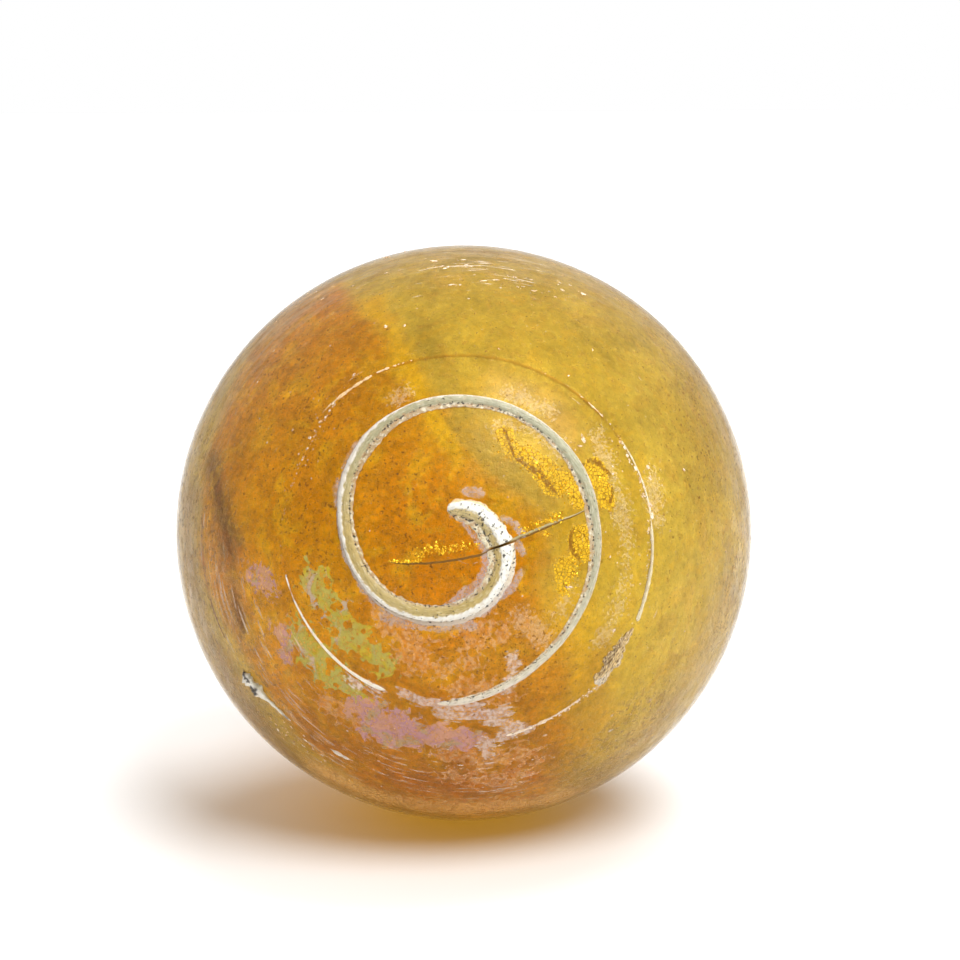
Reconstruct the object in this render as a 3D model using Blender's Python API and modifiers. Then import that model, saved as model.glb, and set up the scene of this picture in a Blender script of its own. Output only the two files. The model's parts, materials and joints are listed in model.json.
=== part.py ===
"""Retort flask: a free-blown amber glass globe with a drawn, bent neck, and an opaque white thread of
glass that was trailed over its base in a spiral and survives in broken stretches.

Metres, +Z up. The flask lies on its globe and its lip, base towards -Y and neck towards +Y. The origin is
the middle of the small worn flat that the globe rests on. In the flask's own frame, carried by an empty at
the middle of the globe, +Z runs out through the neck and +Y is the way that the neck bends."""

import math

import bmesh
import bpy
from mathutils import Vector

# Globe
GLOBE_RADIUS = 0.035
WALL = 0.0016
REST_FLAT_RADIUS = 0.005
SHOULDER_FILLET = 0.008

# Neck, from the shoulder to the lip
NECK_ROOT_RADIUS = 0.0105
NECK_TIP_RADIUS = 0.0066
NECK_STRAIGHT = 0.016
NECK_BEND_RADIUS = 0.080
NECK_BEND_ANGLE = math.radians(26)
LIP_RADIUS = 0.0076
LIP_LENGTH = 0.0025
LIP_FLARE = 0.004

# Clearances between pieces that touch on the real flask
JOINT_GAP = 0.0003
TRAIL_GAP = 0.0002

# Trail: wound clockwise, as seen on the base, from a thick end at this angle from the right
TRAIL_TIP_ANGLE = 122.5
TRAIL_WIDE = 0.0028
TRAIL_FINE = 0.0004
TRAIL_TAPER = (150, 680)
TRAIL_HEIGHT = 0.35
TRAIL_BLUNT_END = 0.4
TRAIL_STEP = 0.0013

# The hand-laid route: degrees turned from the thick end, and degrees over the globe from the base's middle
TRAIL_ROUTE = (
    (0, 8.3), (40, 6.9), (80, 5.7), (120, 6.2), (170, 8.8), (205, 12.0), (240, 15.6), (275, 20.5),
    (305, 24.1), (335, 27.8), (365, 29.6), (400, 28.5), (450, 26.5), (500, 24.9), (525, 25.5),
    (550, 27.8), (583, 33.4), (606, 36.2), (650, 37.5), (700, 40.9), (725, 39.6), (780, 39.0),
    (840, 38.8), (870, 38.0), (892, 40.8), (922, 41.7), (1100, 48.3), (1320, 58.0), (1340, 59.4),
    (1352, 62.4), (1366, 64.2), (1390, 64.5),
)

# Widths of the stretches that are thicker than the thread there
RIGHT_WIDTH = 0.0006
TORN_WIDTH = 0.0018
FRAGMENT_WIDTH = 0.0005
STUB_WIDTH = 0.0010

# What is left of the trail: name, first and last degree turned, and a width where it isn't the thread's own
TRAIL_STRETCHES = (
    ("trail_start", 0, 119, None),
    ("trail_first_turn", 124, 584, None),
    ("trail_second_turn_left", 602, 668, None),
    ("trail_second_turn_top", 704, 798, None),
    ("trail_second_turn_right", 803, 868, RIGHT_WIDTH),
    ("trail_torn_stretch", 873, 891, TORN_WIDTH),
    ("trail_second_turn_lower", 896, 922, None),
    ("trail_outer_fragment", 1320, 1326, FRAGMENT_WIDTH),
    ("trail_outer_stub", 1337, 1352, STUB_WIDTH),
    ("trail_outer_end", 1360, 1388, None),
)

# Facets
AROUND = 48
FACET = 0.0038
NECK_SIDES = 24
NECK_BEND_STEP = math.radians(4)
THREAD_SIDES = 8
FINE_THREAD_SIDES = 4

AMBER = (0.60, 0.27, 0.02, 1.0)
PALE_AMBER = (0.62, 0.36, 0.08, 1.0)
WHITE_TRAIL = (0.80, 0.78, 0.68, 1.0)


def clear_scene():
    for item in list(bpy.data.objects):
        bpy.data.objects.remove(item, do_unlink=True)


def new_collection(name):
    collection = bpy.data.collections.new(name)
    bpy.context.scene.collection.children.link(collection)
    return collection


def glass(name, colour, roughness, transmission):
    material = bpy.data.materials.new(name)
    material.use_nodes = True
    shader = material.node_tree.nodes["Principled BSDF"]
    shader.inputs["Base Color"].default_value = colour
    shader.inputs["Roughness"].default_value = roughness
    shader.inputs["Metallic"].default_value = 0.0
    shader.inputs["Transmission Weight"].default_value = transmission
    shader.inputs["IOR"].default_value = 1.51
    return material


def place(name, mesh, collection, parent=None, material=None):
    item = bpy.data.objects.new(name, mesh)
    collection.objects.link(item)
    item.parent = parent
    if material:
        mesh.materials.append(material)
        mesh.shade_smooth()
    return item


def as_cutter(item):
    item.hide_render = True
    item.display_type = "WIRE"
    return item


def cut(item, cutter):
    boolean = item.modifiers.new("cut " + cutter.name, "BOOLEAN")
    boolean.operation = "DIFFERENCE"
    boolean.solver = "EXACT"
    boolean.object = cutter


def arc(centre, radius, start, end):
    """Points of a circle in a half section, from one angle to another."""
    steps = math.ceil(abs(end - start) * radius / FACET)
    angles = [start + (end - start) * step / steps for step in range(steps + 1)]
    return [(centre[0] + radius * math.cos(a), centre[1] + radius * math.sin(a)) for a in angles]


def shoulder_centre():
    """Middle of the hollow round between globe and neck: touches the globe's circle and the neck's side."""
    across = NECK_ROOT_RADIUS + SHOULDER_FILLET
    return across, math.sqrt((GLOBE_RADIUS + SHOULDER_FILLET) ** 2 - across**2)


def wall_side(inset):
    """One side of the globe's wall as a half section, from the neck down to the middle of the base."""
    centre = shoulder_centre()
    meet = math.atan2(centre[1], centre[0])
    hollow = arc(centre, SHOULDER_FILLET + inset, math.pi, math.pi + meet)
    globe = arc((0, 0), GLOBE_RADIUS - inset, meet, -math.pi / 2)
    globe[-1] = (0.0, globe[-1][1])
    return hollow + globe[1:]


def turned(name, profile):
    """A half section, given as points of radius and height, as a mesh for the Screw modifier."""
    mesh = bpy.data.meshes.new(name)
    points = [(radius, 0, height) for radius, height in profile]
    edges = [(i, i + 1) for i in range(len(points) - 1)]
    mesh.from_pydata(points, edges, [])
    return mesh


def add_globe(collection, cutters, axis):
    profile = wall_side(0.0) + wall_side(WALL)[::-1]
    mesh = turned("globe", profile + profile[:1])
    globe = place("globe", mesh, collection, axis, glass("globe glass", AMBER, 0.2, 0.6))
    screw = globe.modifiers.new("turn", "SCREW")
    screw.steps = AROUND
    screw.render_steps = AROUND
    screw.use_merge_vertices = True
    screw.merge_threshold = 0.00001
    screw.use_normal_calculate = False
    floor_mesh = bpy.data.meshes.new("worn flat")
    block = bmesh.new()
    bmesh.ops.create_cube(block, size=GLOBE_RADIUS)
    block.to_mesh(floor_mesh)
    block.free()
    floor = as_cutter(place("worn flat", floor_mesh, cutters))
    floor.location = (0, 0, -GLOBE_RADIUS / 2)
    cut(globe, floor)
    return globe


def neck_line(distance):
    """Point and direction on the neck's middle line: straight from the shoulder, bent, then a straight lip."""
    start = shoulder_centre()[1] + JOINT_GAP
    if distance <= NECK_STRAIGHT:
        return Vector((0, 0, start + distance)), Vector((0, 0, 1))
    bend = min((distance - NECK_STRAIGHT) / NECK_BEND_RADIUS, NECK_BEND_ANGLE)
    past = distance - NECK_STRAIGHT - bend * NECK_BEND_RADIUS
    direction = Vector((0, math.sin(bend), math.cos(bend)))
    down = NECK_BEND_RADIUS * (1 - math.cos(bend))
    point = Vector((0, down, start + NECK_STRAIGHT + NECK_BEND_RADIUS * math.sin(bend)))
    return point + direction * past, direction


def neck_length():
    return NECK_STRAIGHT + NECK_BEND_RADIUS * NECK_BEND_ANGLE + LIP_LENGTH


def neck_radius(distance):
    """Outside of the neck: an even taper, then a flare into the lip."""
    length = neck_length()
    taper = NECK_ROOT_RADIUS + (NECK_TIP_RADIUS - NECK_ROOT_RADIUS) * distance / length
    flare = (distance - (length - LIP_LENGTH - LIP_FLARE)) / LIP_FLARE
    return taper + (LIP_RADIUS - NECK_TIP_RADIUS) * min(max(flare, 0), 1)


def bent_tube(name, distances, radius_at, collection, axis):
    """A round tube along the neck's middle line, closed at its ends, as a mesh object."""
    curve = bpy.data.curves.new(name, "CURVE")
    curve.dimensions = "3D"
    curve.bevel_depth = 1.0
    curve.bevel_resolution = (NECK_SIDES - 4) // 2
    curve.use_fill_caps = True
    spline = curve.splines.new("POLY")
    spline.points.add(len(distances) - 1)
    for point, distance in zip(spline.points, distances):
        point.co = (*neck_line(distance)[0], 1.0)
        point.radius = radius_at(distance)
    drawn = bpy.data.objects.new(name + " line", curve)
    collection.objects.link(drawn)
    evaluated = drawn.evaluated_get(bpy.context.evaluated_depsgraph_get())
    mesh = bpy.data.meshes.new_from_object(evaluated)
    bpy.data.objects.remove(drawn)
    shape = bmesh.new()
    shape.from_mesh(mesh)
    bmesh.ops.remove_doubles(shape, verts=shape.verts, dist=0.00001)
    bmesh.ops.recalc_face_normals(shape, faces=shape.faces)
    shape.to_mesh(mesh)
    shape.free()
    mesh.name = name
    return place(name, mesh, collection, axis)


def add_neck(collection, cutters, axis):
    length = neck_length()
    bends = math.ceil(NECK_BEND_ANGLE / NECK_BEND_STEP)
    bent = NECK_BEND_RADIUS * NECK_BEND_ANGLE
    stations = [0.0, NECK_STRAIGHT]
    stations += [NECK_STRAIGHT + bent * step / bends for step in range(1, bends)]
    before_lip = length - LIP_LENGTH - LIP_FLARE
    outside = [d for d in stations if d < before_lip - LIP_LENGTH]
    outside += [before_lip, length - LIP_LENGTH, length]
    neck = bent_tube("neck", outside, neck_radius, collection, axis)
    neck.data.materials.append(glass("neck glass", PALE_AMBER, 0.2, 0.6))
    neck.data.shade_smooth()
    inside = [-WALL] + outside + [length + WALL]
    bore = bent_tube("neck bore", inside, lambda d: neck_radius(d) - WALL, cutters, axis)
    cut(neck, as_cutter(bore))
    return neck


def route_polar(turn):
    """Angle over the globe from the middle of the base, on a smooth curve through the route's points."""
    last = len(TRAIL_ROUTE) - 1
    i = max(j for j in range(last) if TRAIL_ROUTE[j][0] <= turn or j == 0)
    around = [TRAIL_ROUTE[min(max(j, 0), last)] for j in (i - 1, i, i + 1, i + 2)]
    (x0, y0), (x1, y1), (x2, y2), (x3, y3) = around
    slope_in = (y2 - y0) / (x2 - x0)
    slope_out = (y3 - y1) / (x3 - x1)
    span = x2 - x1
    u = (turn - x1) / span
    value = y1 * (2 * u**3 - 3 * u**2 + 1) + y2 * (3 * u**2 - 2 * u**3)
    value += span * (slope_in * (u**3 - 2 * u**2 + u) + slope_out * (u**3 - u**2))
    return math.radians(value)


def on_glass(turn):
    """Unit vector from the middle of the globe to the trail."""
    polar = route_polar(turn)
    clock = math.radians(TRAIL_TIP_ANGLE - turn)
    across = math.sin(polar)
    return Vector((across * math.cos(clock), -across * math.sin(clock), -math.cos(polar)))


def thread_width(turn):
    wide, fine = TRAIL_TAPER
    return max(TRAIL_FINE, TRAIL_WIDE * (1 - max(0, turn - wide) / (fine - wide)))


def thread_stations(first, last, end_width):
    """Degrees turned, at even steps along the glass and closer at the ends, with shares of the width."""
    samples = 400
    turns = [first + (last - first) * step / samples for step in range(samples + 1)]
    places = [on_glass(turn) * GLOBE_RADIUS for turn in turns]
    travelled = [0.0]
    for before, after in zip(places, places[1:]):
        travelled.append(travelled[-1] + (after - before).length)
    length = travelled[-1]
    round_end = min(end_width / 2, length / 4)
    steps = max(2, round((length - 2 * round_end) / TRAIL_STEP))
    even = [round_end + (length - 2 * round_end) * step / steps for step in range(steps + 1)]
    near_ends = [0.0, round_end * 0.3, length - round_end * 0.3, length]
    stations = []
    for goal in sorted(even + near_ends):
        turn = min(zip(travelled, turns), key=lambda pair: abs(pair[0] - goal))[1]
        inset = min(goal, length - goal) / round_end
        share = math.sqrt(1 - max(0, 1 - inset) ** 2)
        stations.append((turn, max(share, TRAIL_BLUNT_END)))
    return stations


def add_thread(name, first, last, width, collection, axis):
    """A half-round thread with blunt ends that lies on the globe: one section carried along the route."""
    is_fine = width is None and thread_width(first) <= TRAIL_FINE
    sides = FINE_THREAD_SIDES if is_fine else THREAD_SIDES
    angles = [math.pi * side / sides for side in range(sides + 1)]
    shape = bmesh.new()
    rings = []
    for turn, share in thread_stations(first, last, width or thread_width(first)):
        out = on_glass(turn)
        along = (on_glass(turn + 0.5) - on_glass(turn - 0.5)).normalized()
        across = along.cross(out).normalized()
        half = share * (width or thread_width(turn)) / 2
        height = 2 * TRAIL_HEIGHT * half
        base = out * (GLOBE_RADIUS + TRAIL_GAP)
        section = [base + across * (half * math.cos(a)) + out * (height * math.sin(a)) for a in angles]
        rings.append([shape.verts.new(point) for point in section])
    loops = []
    for ring in rings:
        loops.append([shape.edges.new((ring[i - 1], ring[i])) for i in range(len(ring))])
    for before, after in zip(loops, loops[1:]):
        bmesh.ops.bridge_loops(shape, edges=before + after)
    shape.faces.new(rings[0])
    shape.faces.new(rings[-1])
    bmesh.ops.recalc_face_normals(shape, faces=shape.faces)
    mesh = bpy.data.meshes.new(name)
    shape.to_mesh(mesh)
    shape.free()
    return place(name, mesh, collection, axis, glass(name + " glass", WHITE_TRAIL, 0.45, 0.0))


def globe_height():
    """Height of the globe's middle over the worn flat."""
    return math.sqrt(GLOBE_RADIUS**2 - REST_FLAT_RADIUS**2)


def lip_height(tilt):
    """Height of the lip's lowest edge when the flask's axis dips by this angle towards the neck."""
    point, direction = neck_line(neck_length())
    edge = point + LIP_RADIUS * Vector((0, direction.z, -direction.y))
    return globe_height() - edge.z * math.sin(tilt) - edge.y * math.cos(tilt)


def resting_tilt():
    """The dip at which the lip comes down on the floor, by halving."""
    low, high = math.radians(-30), math.radians(60)
    for _ in range(60):
        middle = (low + high) / 2
        if lip_height(middle) > 0:
            low = middle
        else:
            high = middle
    return low


def main():
    clear_scene()
    flask = new_collection("retort flask")
    cutters = new_collection("cutters")
    axis = bpy.data.objects.new("flask axis", None)
    flask.objects.link(axis)
    axis.location = (0, 0, globe_height())
    axis.rotation_euler = (-math.pi / 2 - resting_tilt(), 0, 0)
    bpy.context.view_layer.update()
    add_globe(flask, cutters, axis)
    add_neck(flask, cutters, axis)
    for name, first, last, width in TRAIL_STRETCHES:
        add_thread(name, first, last, width, flask, axis)


main()
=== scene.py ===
import json
import math

import bpy
import numpy as np
from mathutils import Matrix, Vector


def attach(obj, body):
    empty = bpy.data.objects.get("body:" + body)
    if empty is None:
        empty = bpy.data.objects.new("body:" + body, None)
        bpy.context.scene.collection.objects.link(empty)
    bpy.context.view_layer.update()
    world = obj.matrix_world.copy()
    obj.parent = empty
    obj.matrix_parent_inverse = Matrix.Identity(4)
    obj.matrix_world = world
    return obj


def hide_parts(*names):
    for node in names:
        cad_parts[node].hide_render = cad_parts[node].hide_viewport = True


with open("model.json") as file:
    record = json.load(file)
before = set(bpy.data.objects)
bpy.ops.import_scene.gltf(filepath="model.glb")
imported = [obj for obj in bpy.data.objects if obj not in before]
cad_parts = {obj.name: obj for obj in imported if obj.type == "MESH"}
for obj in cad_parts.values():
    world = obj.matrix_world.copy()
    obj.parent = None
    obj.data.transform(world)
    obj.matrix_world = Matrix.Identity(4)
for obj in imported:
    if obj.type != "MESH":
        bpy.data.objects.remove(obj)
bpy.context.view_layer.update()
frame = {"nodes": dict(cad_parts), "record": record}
print("frame loaded:", len(frame["nodes"]), "nodes")

# Sizes of the blown flask in metres, as the solids have them
flask = {
    "globeRadius": 0.035,
    "wall": 0.0016,
    "restFlat": 0.005,
    "shoulderFillet": 0.008,
    "neckRoot": 0.0105,
    "neckTip": 0.0066,
    "neckStraight": 0.016,
    "neckBend": 0.080,
    "bendAngle": math.radians(26),
    "lipRadius": 0.0076,
    "lipLength": 0.0025,
    "lipFlare": 0.004,
    "jointGap": 0.0003,
}
rimAxis = next(m for m in frame["record"]["mounts"] if m["name"] == "mouth_rim")["axis"]
flaskTilt = math.acos(rimAxis[1]) - flask["bendAngle"]  # dip of the flask's own axis
globeHeight = math.sqrt(flask["globeRadius"] ** 2 - flask["restFlat"] ** 2)
globeReach = flask["globeRadius"] * 1000  # in millimetres, as places on the wall are measured
globeMiddle = np.array([0.0, 0.0, globeHeight])

# Camera, as the photograph was taken: looking at the base, from a little above
camera = {
    "azimuth": -1.15,
    "elevation": math.degrees(flaskTilt) + 2.5,
    "distance": 0.8,
    "globeAt": (464.0, 532.5),  # pixel of the globe's middle
    "globePixels": 287.5,  # pixel radius of its outline
    "framePixels": 960,
    "sensor": 36.0,
}


def unit(vectors):
    return vectors / np.linalg.norm(vectors, axis=-1, keepdims=True)


def cameraFrame():
    # eye, right, up, forward, and the focal length in pixels: the globe's outline is the cone that touches it
    az = math.radians(camera["azimuth"])
    el = math.radians(camera["elevation"])
    back = np.array([math.sin(az) * math.cos(el), -math.cos(az) * math.cos(el), math.sin(el)])
    focal = camera["globePixels"] / math.tan(math.asin(flask["globeRadius"] / camera["distance"]))
    half = camera["framePixels"] / 2
    side = np.array([math.cos(az), math.sin(az), 0.0])
    lift = np.cross(back, side)
    aim = side * (half - camera["globeAt"][0]) + lift * (camera["globeAt"][1] - half) - back * focal
    forward = unit(aim)
    right = unit(np.cross(forward, [0.0, 0.0, 1.0]))
    return globeMiddle + back * camera["distance"], right, np.cross(right, forward), forward, focal


def makeCamera():
    eye, right, up, forward, focal = cameraFrame()
    data = bpy.data.cameras.new("photo_camera")
    data.sensor_width = camera["sensor"]
    data.lens = focal / camera["framePixels"] * camera["sensor"]
    data.clip_start = 0.01
    data.clip_end = 50
    item = bpy.data.objects.new("photo_camera", data)
    item.location = eye
    item.rotation_euler = Matrix(np.stack([right, up, -forward], axis=1).tolist()).to_euler()
    bpy.context.scene.collection.objects.link(item)
    bpy.context.scene.camera = item


makeCamera()
print("camera ready, lens", round(bpy.context.scene.camera.data.lens, 1))


def toWorld(local):
    # flask frame (Z out through the neck, Y the way it bends) to the part's frame
    c, s = math.cos(flaskTilt), math.sin(flaskTilt)
    x, y, z = local[..., 0], local[..., 1], local[..., 2]
    return np.stack([x, z * c - y * s, globeHeight - z * s - y * c], axis=-1)


def toLocal(world):
    # the other way round
    c, s = math.cos(flaskTilt), math.sin(flaskTilt)
    x, y, z = world[..., 0], world[..., 1], globeHeight - world[..., 2]
    return np.stack([x, z * c - y * s, y * c + z * s], axis=-1)


def spotOnGlobe(pixels):
    # where the sight lines through these pixels meet the globe, as unit vectors in the flask frame
    eye, right, up, forward, focal = cameraFrame()
    offset = np.asarray(pixels, float) - camera["framePixels"] / 2
    ray = unit(forward * focal + offset[..., :1] * right - offset[..., 1:] * up)
    toMiddle = globeMiddle - eye
    along = ray @ toMiddle
    reach = np.maximum(along**2 - toMiddle @ toMiddle + flask["globeRadius"] ** 2, 0)
    return unit(toLocal(eye + ray * (along - np.sqrt(reach))[..., None]))


def baseMap(local):
    # flat map of the glass about the middle of the base: millimetres along the wall, the way as on the clock
    size = np.linalg.norm(local, axis=-1)
    polar = np.arccos(np.clip(-local[..., 2] / np.maximum(size, 1e-9), -1, 1))
    clock = np.arctan2(-local[..., 1], local[..., 0])
    arc = polar * globeReach
    return np.stack([arc * np.cos(clock), arc * np.sin(clock)], axis=-1)


def fromMap(place):
    # unit vectors in the flask frame for places on that map
    arc = np.linalg.norm(place, axis=-1)
    polar = arc / globeReach
    share = np.sin(polar) / np.maximum(arc, 1e-9)
    return np.stack([place[..., 0] * share, -place[..., 1] * share, -np.cos(polar)], axis=-1)


def mapSpot(pixels):
    return baseMap(spotOnGlobe(pixels))


def smooth(value):
    share = np.clip(value, 0, 1)
    return share * share * (3 - 2 * share)


def cloud(places, size, seed):
    # value noise from -1 to 1: random numbers on a cubic lattice, blended by the smoothed fraction
    table = np.random.default_rng(seed).random(4096)
    cell = np.floor(places / size).astype(int)
    part = smooth(places / size - cell)
    total = np.zeros(places.shape[:-1])
    for corner in range(8):
        step = np.array([corner & 1, corner >> 1 & 1, corner >> 2])
        key = ((cell + step) * np.array([73, 179, 283])).sum(-1) % len(table)
        total += table[key] * np.prod(np.where(step == 1, part, 1 - part), axis=-1)
    return total * 2 - 1


def lineDistance(places, line):
    # distance to an open line on the map
    nearest = np.full(len(places), np.inf)
    for a, b in zip(line[:-1], line[1:]):
        run = b - a
        share = np.clip((places - a) @ run / max(run @ run, 1e-12), 0, 1)
        nearest = np.minimum(nearest, np.linalg.norm(places - a - share[:, None] * run, axis=1))
    return nearest


def outlineDistance(places, outline):
    # signed distance to a closed outline on the map, positive inside: an odd number of edges to the right
    closed = np.concatenate([outline, outline[:1]])
    nearest = lineDistance(places, closed)
    x, y = places[:, :1], places[:, 1:]
    (ax, ay), (bx, by) = closed[:-1].T, closed[1:].T
    rise = np.where(np.abs(by - ay) > 1e-9, by - ay, 1e-9)
    right = ((ay > y) != (by > y)) & (x < ax + (y - ay) * (bx - ax) / rise)
    return np.where(right.sum(1) % 2 == 1, nearest, -nearest)


def gridFaces(rows, columns):
    # quads of a grid that closes on itself along its columns
    i = np.arange(rows - 1)[:, None] * columns
    j = np.arange(columns)[None, :]
    k = (j + 1) % columns
    return np.stack([i + j, i + columns + j, i + columns + k, i + k], axis=-1).reshape(-1, 4)


def poleFaces(rows, columns):
    # faces of a closed grid whose first and last rows are single points; also which points of the grid stay
    keep = np.ones(rows * columns, bool)
    keep[1:columns] = False
    keep[-columns + 1:] = False
    quads = (np.cumsum(keep) - 1)[gridFaces(rows, columns)]
    triangles = np.concatenate([quads[:columns][:, [0, 1, 2]], quads[-columns:][:, [0, 1, 3]]])
    return keep, quads[columns:-columns], triangles


def enclosedVolume(points, triangles):
    a, b, c = points[triangles[:, 0]], points[triangles[:, 1]], points[triangles[:, 2]]
    return np.einsum("ij,ij->", a, np.cross(b, c)) / 6


def meshPiece(name, points, quads, triangles=np.zeros((0, 3), int), rounded=True):
    # an object at the origin from whole arrays of points and faces, with the faces of a closed shape outwards
    split = np.concatenate([quads[:, [0, 1, 2]], quads[:, [0, 2, 3]], triangles])
    if enclosedVolume(points - points.mean(0), split) < 0:
        quads, triangles = quads[:, ::-1], triangles[:, ::-1]
    loops = np.concatenate([quads.ravel(), triangles.ravel()])
    sizes = np.concatenate([np.full(len(quads), 4), np.full(len(triangles), 3)])
    mesh = bpy.data.meshes.new(name)
    mesh.vertices.add(len(points))
    mesh.vertices.foreach_set("co", np.asarray(points, np.float32).ravel())
    mesh.loops.add(len(loops))
    mesh.loops.foreach_set("vertex_index", loops.astype(np.int32))
    mesh.polygons.add(len(sizes))
    mesh.polygons.foreach_set("loop_start", np.concatenate([[0], np.cumsum(sizes)[:-1]]).astype(np.int32))
    mesh.polygons.foreach_set("use_smooth", np.full(len(sizes), rounded))
    mesh.update(calc_edges=True)
    item = bpy.data.objects.new(name, mesh)
    bpy.context.scene.collection.objects.link(item)
    return item


def setValues(item, name, values, kind="FLOAT", field="value"):
    layer = item.data.attributes.new(name, kind, "POINT")
    layer.data.foreach_set(field, np.asarray(values, np.float32).ravel())


def setPlaces(item, name, places):
    setValues(item, name, places, "FLOAT_VECTOR", "vector")


def setColours(item, name, colours):
    opaque = np.ones((len(colours), 1))
    setValues(item, name, np.concatenate([colours, opaque], axis=1), "FLOAT_COLOR", "color")


# Vessel: globe, shoulder, neck and lip as one wall of glass
vessel = {
    "around": 240,
    "fineRings": 0.0004,  # ring spacing over the base
    "fineReach": 0.046,  # how far the fine rings go from the base's middle
    "ringSpacing": 0.0010,
    "innerSpacing": 0.0016,
    "lipRings": 9,
    "waver": 0.00010,  # unevenness of the hand-blown wall
}


def shoulderMiddle():
    across = flask["neckRoot"] + flask["shoulderFillet"]
    return across, math.sqrt((flask["globeRadius"] + flask["shoulderFillet"]) ** 2 - across**2)


def neckLength():
    return flask["neckStraight"] + flask["neckBend"] * flask["bendAngle"] + flask["lipLength"]


def neckLine(distance):
    # middle line of the neck: straight, then an arc, then a straight lip
    start = shoulderMiddle()[1] + flask["jointGap"]
    bend = np.clip((distance - flask["neckStraight"]) / flask["neckBend"], 0, flask["bendAngle"])
    before = np.minimum(distance, flask["neckStraight"])
    past = np.maximum(distance - flask["neckStraight"] - flask["neckBend"] * flask["bendAngle"], 0)
    y = flask["neckBend"] * (1 - np.cos(bend)) + past * np.sin(bend)
    z = start + before + flask["neckBend"] * np.sin(bend) + past * np.cos(bend)
    return y, z, bend


def neckRadius(distance):
    # even taper, then a smooth flare into the lip
    length = neckLength()
    taper = flask["neckRoot"] + (flask["neckTip"] - flask["neckRoot"]) * distance / length
    flare = smooth((distance - length + flask["lipLength"] + flask["lipFlare"]) / flask["lipFlare"])
    return taper + (flask["lipRadius"] - flask["neckTip"]) * flare


def vesselStations():
    # one generating line, from the base's middle to the lip and back inside: radius, y, z, bend, outside
    radius, wall = flask["globeRadius"], flask["wall"]
    across, height = shoulderMiddle()
    meet = math.atan2(height, across)
    endPolar = math.pi / 2 + meet
    fine = np.arange(0, vessel["fineReach"], vessel["fineRings"]) / radius
    steps = round((endPolar - fine[-1]) * radius / vessel["ringSpacing"])
    coarse = np.linspace(fine[-1], endPolar, steps + 1)[1:]
    length = neckLength()
    runs = []

    def addRun(size, y, z, bend, outside):
        runs.append(np.broadcast_arrays(size, y, z, bend, outside))

    def addGlobe(polar, inset, outside):
        size = radius - inset
        addRun(size * np.sin(polar), 0.0, -size * np.cos(polar), 0.0, outside)

    def addShoulder(angle, inset, outside):
        size = flask["shoulderFillet"] + inset
        addRun(across + size * np.cos(angle), 0.0, height + size * np.sin(angle), 0.0, outside)

    def addNeck(distance, inset, outside):
        y, z, bend = neckLine(distance)
        addRun(neckRadius(distance) - inset, y, z, bend, outside)

    addGlobe(np.concatenate([fine, coarse]), 0, 1.0)
    addShoulder(np.linspace(math.pi + meet, math.pi, 13)[1:], 0, 1.0)
    addNeck(np.arange(1, round(length / vessel["ringSpacing"]) - 1) * vessel["ringSpacing"], 0, 1.0)
    bead = np.linspace(0, math.pi, vessel["lipRings"])
    y, z, bend = neckLine(length - wall / 2 * (1 - np.sin(bead)))
    addRun(flask["lipRadius"] - wall / 2 * (1 - np.cos(bead)), y, z, bend, 1 - bead / math.pi)
    addNeck(np.arange(round(length / vessel["innerSpacing"]) - 2, 0, -1) * vessel["innerSpacing"], wall, 0.0)
    addShoulder(np.linspace(math.pi, math.pi + meet, 9), wall, 0.0)
    addGlobe(np.linspace(endPolar, 0, round(endPolar * radius / vessel["innerSpacing"]))[1:], wall, 0.0)
    return [np.concatenate(column) for column in zip(*runs)]


def waver(local):
    # the uneven, hand-blown wall: slow noise outwards, none at the poles
    lump = cloud(local, 0.022, 5) * np.minimum(np.linalg.norm(local[:, :2], axis=1) / 0.02, 1)
    return local + unit(local) * (vessel["waver"] * lump)[:, None]


def makeVessel():
    # rings about the bent middle line: middle + radius * (cos, sin) in the plane across the line
    size, y, z, bend, outside = vesselStations()
    around = vessel["around"]
    rows = len(size)
    angle = np.arange(around) * 2 * math.pi / around
    side = size[:, None] * np.cos(angle)
    rise = size[:, None] * np.sin(angle)
    c, s = np.cos(bend)[:, None], np.sin(bend)[:, None]
    local = np.stack([side, y[:, None] - rise * c, z[:, None] + rise * s], axis=-1).reshape(-1, 3)
    world = toWorld(waver(local))
    world[:, 2] = np.maximum(world[:, 2], 0)  # the worn flat
    keep, quads, triangles = poleFaces(rows, around)
    item = meshPiece("flask_glass", world[keep], quads, triangles)
    return item, toLocal(world[keep]), np.repeat(outside, around)[keep]


glassBody, glassLocal, glassOutside = makeVessel()
print("flask glass:", len(glassBody.data.polygons), "faces")

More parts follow.
